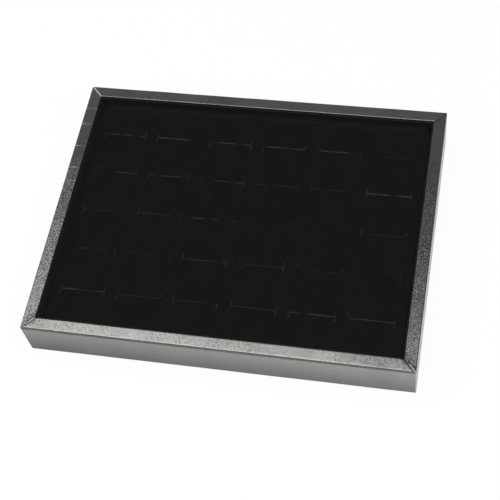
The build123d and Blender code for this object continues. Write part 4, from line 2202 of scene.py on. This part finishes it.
@dataclass
class Studio:
    """A pale floor that sweeps up at its far edge, softboxes and a dim grey surround.

    Attributes:
        floor_rings: Distances from the middle at which the floor has a ring of points.
        floor_radius: Distance at which the floor starts to sweep up.
        floor_turns: Number of points round a ring.
        sweep_height: Height of the sweep.
        floor_drop: How far below the resting surface the floor lies.
        floor_colour: Colour of the floor.
        floor_white: Share of plain white in the floor as the camera sees it.
        floor_mirrored: Share of plain white in the floor as gloss reflects it.
        surround: Colour of the surround.
        softboxes: The lights.
    """

    floor_rings: tuple[float, ...] = (0.0, 0.3, 0.8, 2.0, 4.0, 6.0, 6.5, 7.0, 7.5, 8.0, 8.5, 9.0)
    floor_radius: float = 6.0
    floor_turns: int = 97
    sweep_height: float = 2.1
    floor_drop: float = 0.15 * MM
    floor_colour: Colour = (0.95, 0.95, 0.95)
    floor_white: float = 0.94
    floor_mirrored: float = 0.3
    surround: Colour = (0.209, 0.216, 0.227)
    softboxes: tuple[Softbox, ...] = (
        Softbox("key_softbox", (-0.564, 0.042, 1.0), -11.2, (2.05, 0.86), 1.94),
        Softbox("right_softbox", (0.95, -0.65, 1.0), 0.0, (1.3, 1.3), 1.9),
        Softbox("left_softbox", (-1.2, -0.8, 1.0), 0.0, (0.9, 1.0), 1.8),
    )

    def backdrop(self) -> Piece:
        """The floor: a disc whose rim sweeps up by the square of the distance past its radius.

        Returns:
            The floor's object.
        """
        out = np.array(self.floor_rings)
        past = np.maximum(out - self.floor_radius, 0.0) / (out[-1] - self.floor_radius)
        height = self.sweep_height * past**2 - self.floor_drop
        turn = np.linspace(0.0, 2 * math.pi, self.floor_turns)
        x = out[:, None] * np.cos(turn)
        y = out[:, None] * np.sin(turn)
        points = np.stack(np.broadcast_arrays(x, y, height[:, None]), axis=-1).reshape(-1, 3)
        mesh = bpy.data.meshes.new("studio_floor")
        faces = grid_faces(len(out), len(turn))[:, ::-1]
        mesh.from_pydata(points.tolist(), [], faces.tolist())
        mesh.materials.append(self.floor_material())
        floor = bpy.data.objects.new("studio_floor", mesh)
        bpy.context.scene.collection.objects.link(floor)
        return floor

    def floor_material(self) -> Material:
        """Pale floor, whitened for the camera, gloss and glass, that keeps the tray's shadow.

        Returns:
            The material.
        """
        material, wiring = blank_material("studio_floor")
        path = wiring.add("ShaderNodeLightPath").outputs
        seen = wiring.maths("MULTIPLY", path["Is Camera Ray"], self.floor_white)
        through = wiring.maths("MAXIMUM", path["Is Glossy Ray"], path["Is Transmission Ray"])
        share = wiring.maths("ADD", seen, wiring.maths("MULTIPLY", through, self.floor_mirrored))
        pale = wiring.add("ShaderNodeBsdfDiffuse", {"Color": (*self.floor_colour, 1.0)})
        white = wiring.add("ShaderNodeEmission", {"Color": (1.0, 1.0, 1.0, 1.0), "Strength": 1.0})
        inputs = {0: share, 1: pale.outputs["BSDF"], 2: white.outputs["Emission"]}
        wiring.close(wiring.add("ShaderNodeMixShader", inputs).outputs["Shader"])
        return material

    def build(self) -> None:
        """Sets the floor, the surround and the softboxes."""
        self.backdrop()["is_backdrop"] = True
        world = bpy.data.worlds.new("studio")
        world.use_nodes = True
        world.node_tree.nodes["Background"].inputs["Color"].default_value = (*self.surround, 1.0)
        bpy.context.scene.world = world
        for softbox in self.softboxes:
            softbox.light()
        bpy.context.scene.view_settings.view_transform = "Standard"
        log.info("studio: %d softboxes", len(self.softboxes))


def clear_scene() -> None:
    """Takes out whatever the empty file starts with."""
    for item in list(bpy.data.objects):
        bpy.data.objects.remove(item)


def main() -> None:
    """Builds the tray's sub-assemblies in order."""
    logging.basicConfig(level=logging.INFO, format="%(name)s: %(message)s")
    clear_scene()
    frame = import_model()
    sizes = TraySizes.read()
    Studio().build()
    Viewpoint().stand()
    lining = LINING_VELVET_LIGHTENED.material()
    assemblies = (
        Wraps(sizes, Leatherette().material()),
        WallLinings(sizes, lining),
        FloorLining(lining),
        BottomCover(sizes, Felt().material()),
        RingPad(RingCuts(), PAD_VELVET.material(), FOAM.material()),
        Joinery(frame["nodes"]),
    )
    for assembly in assemblies:
        for piece in assembly.build():
            log.info("%s: %d faces", piece.name, len(piece.data.polygons))


if __name__ == "__main__":
    main()
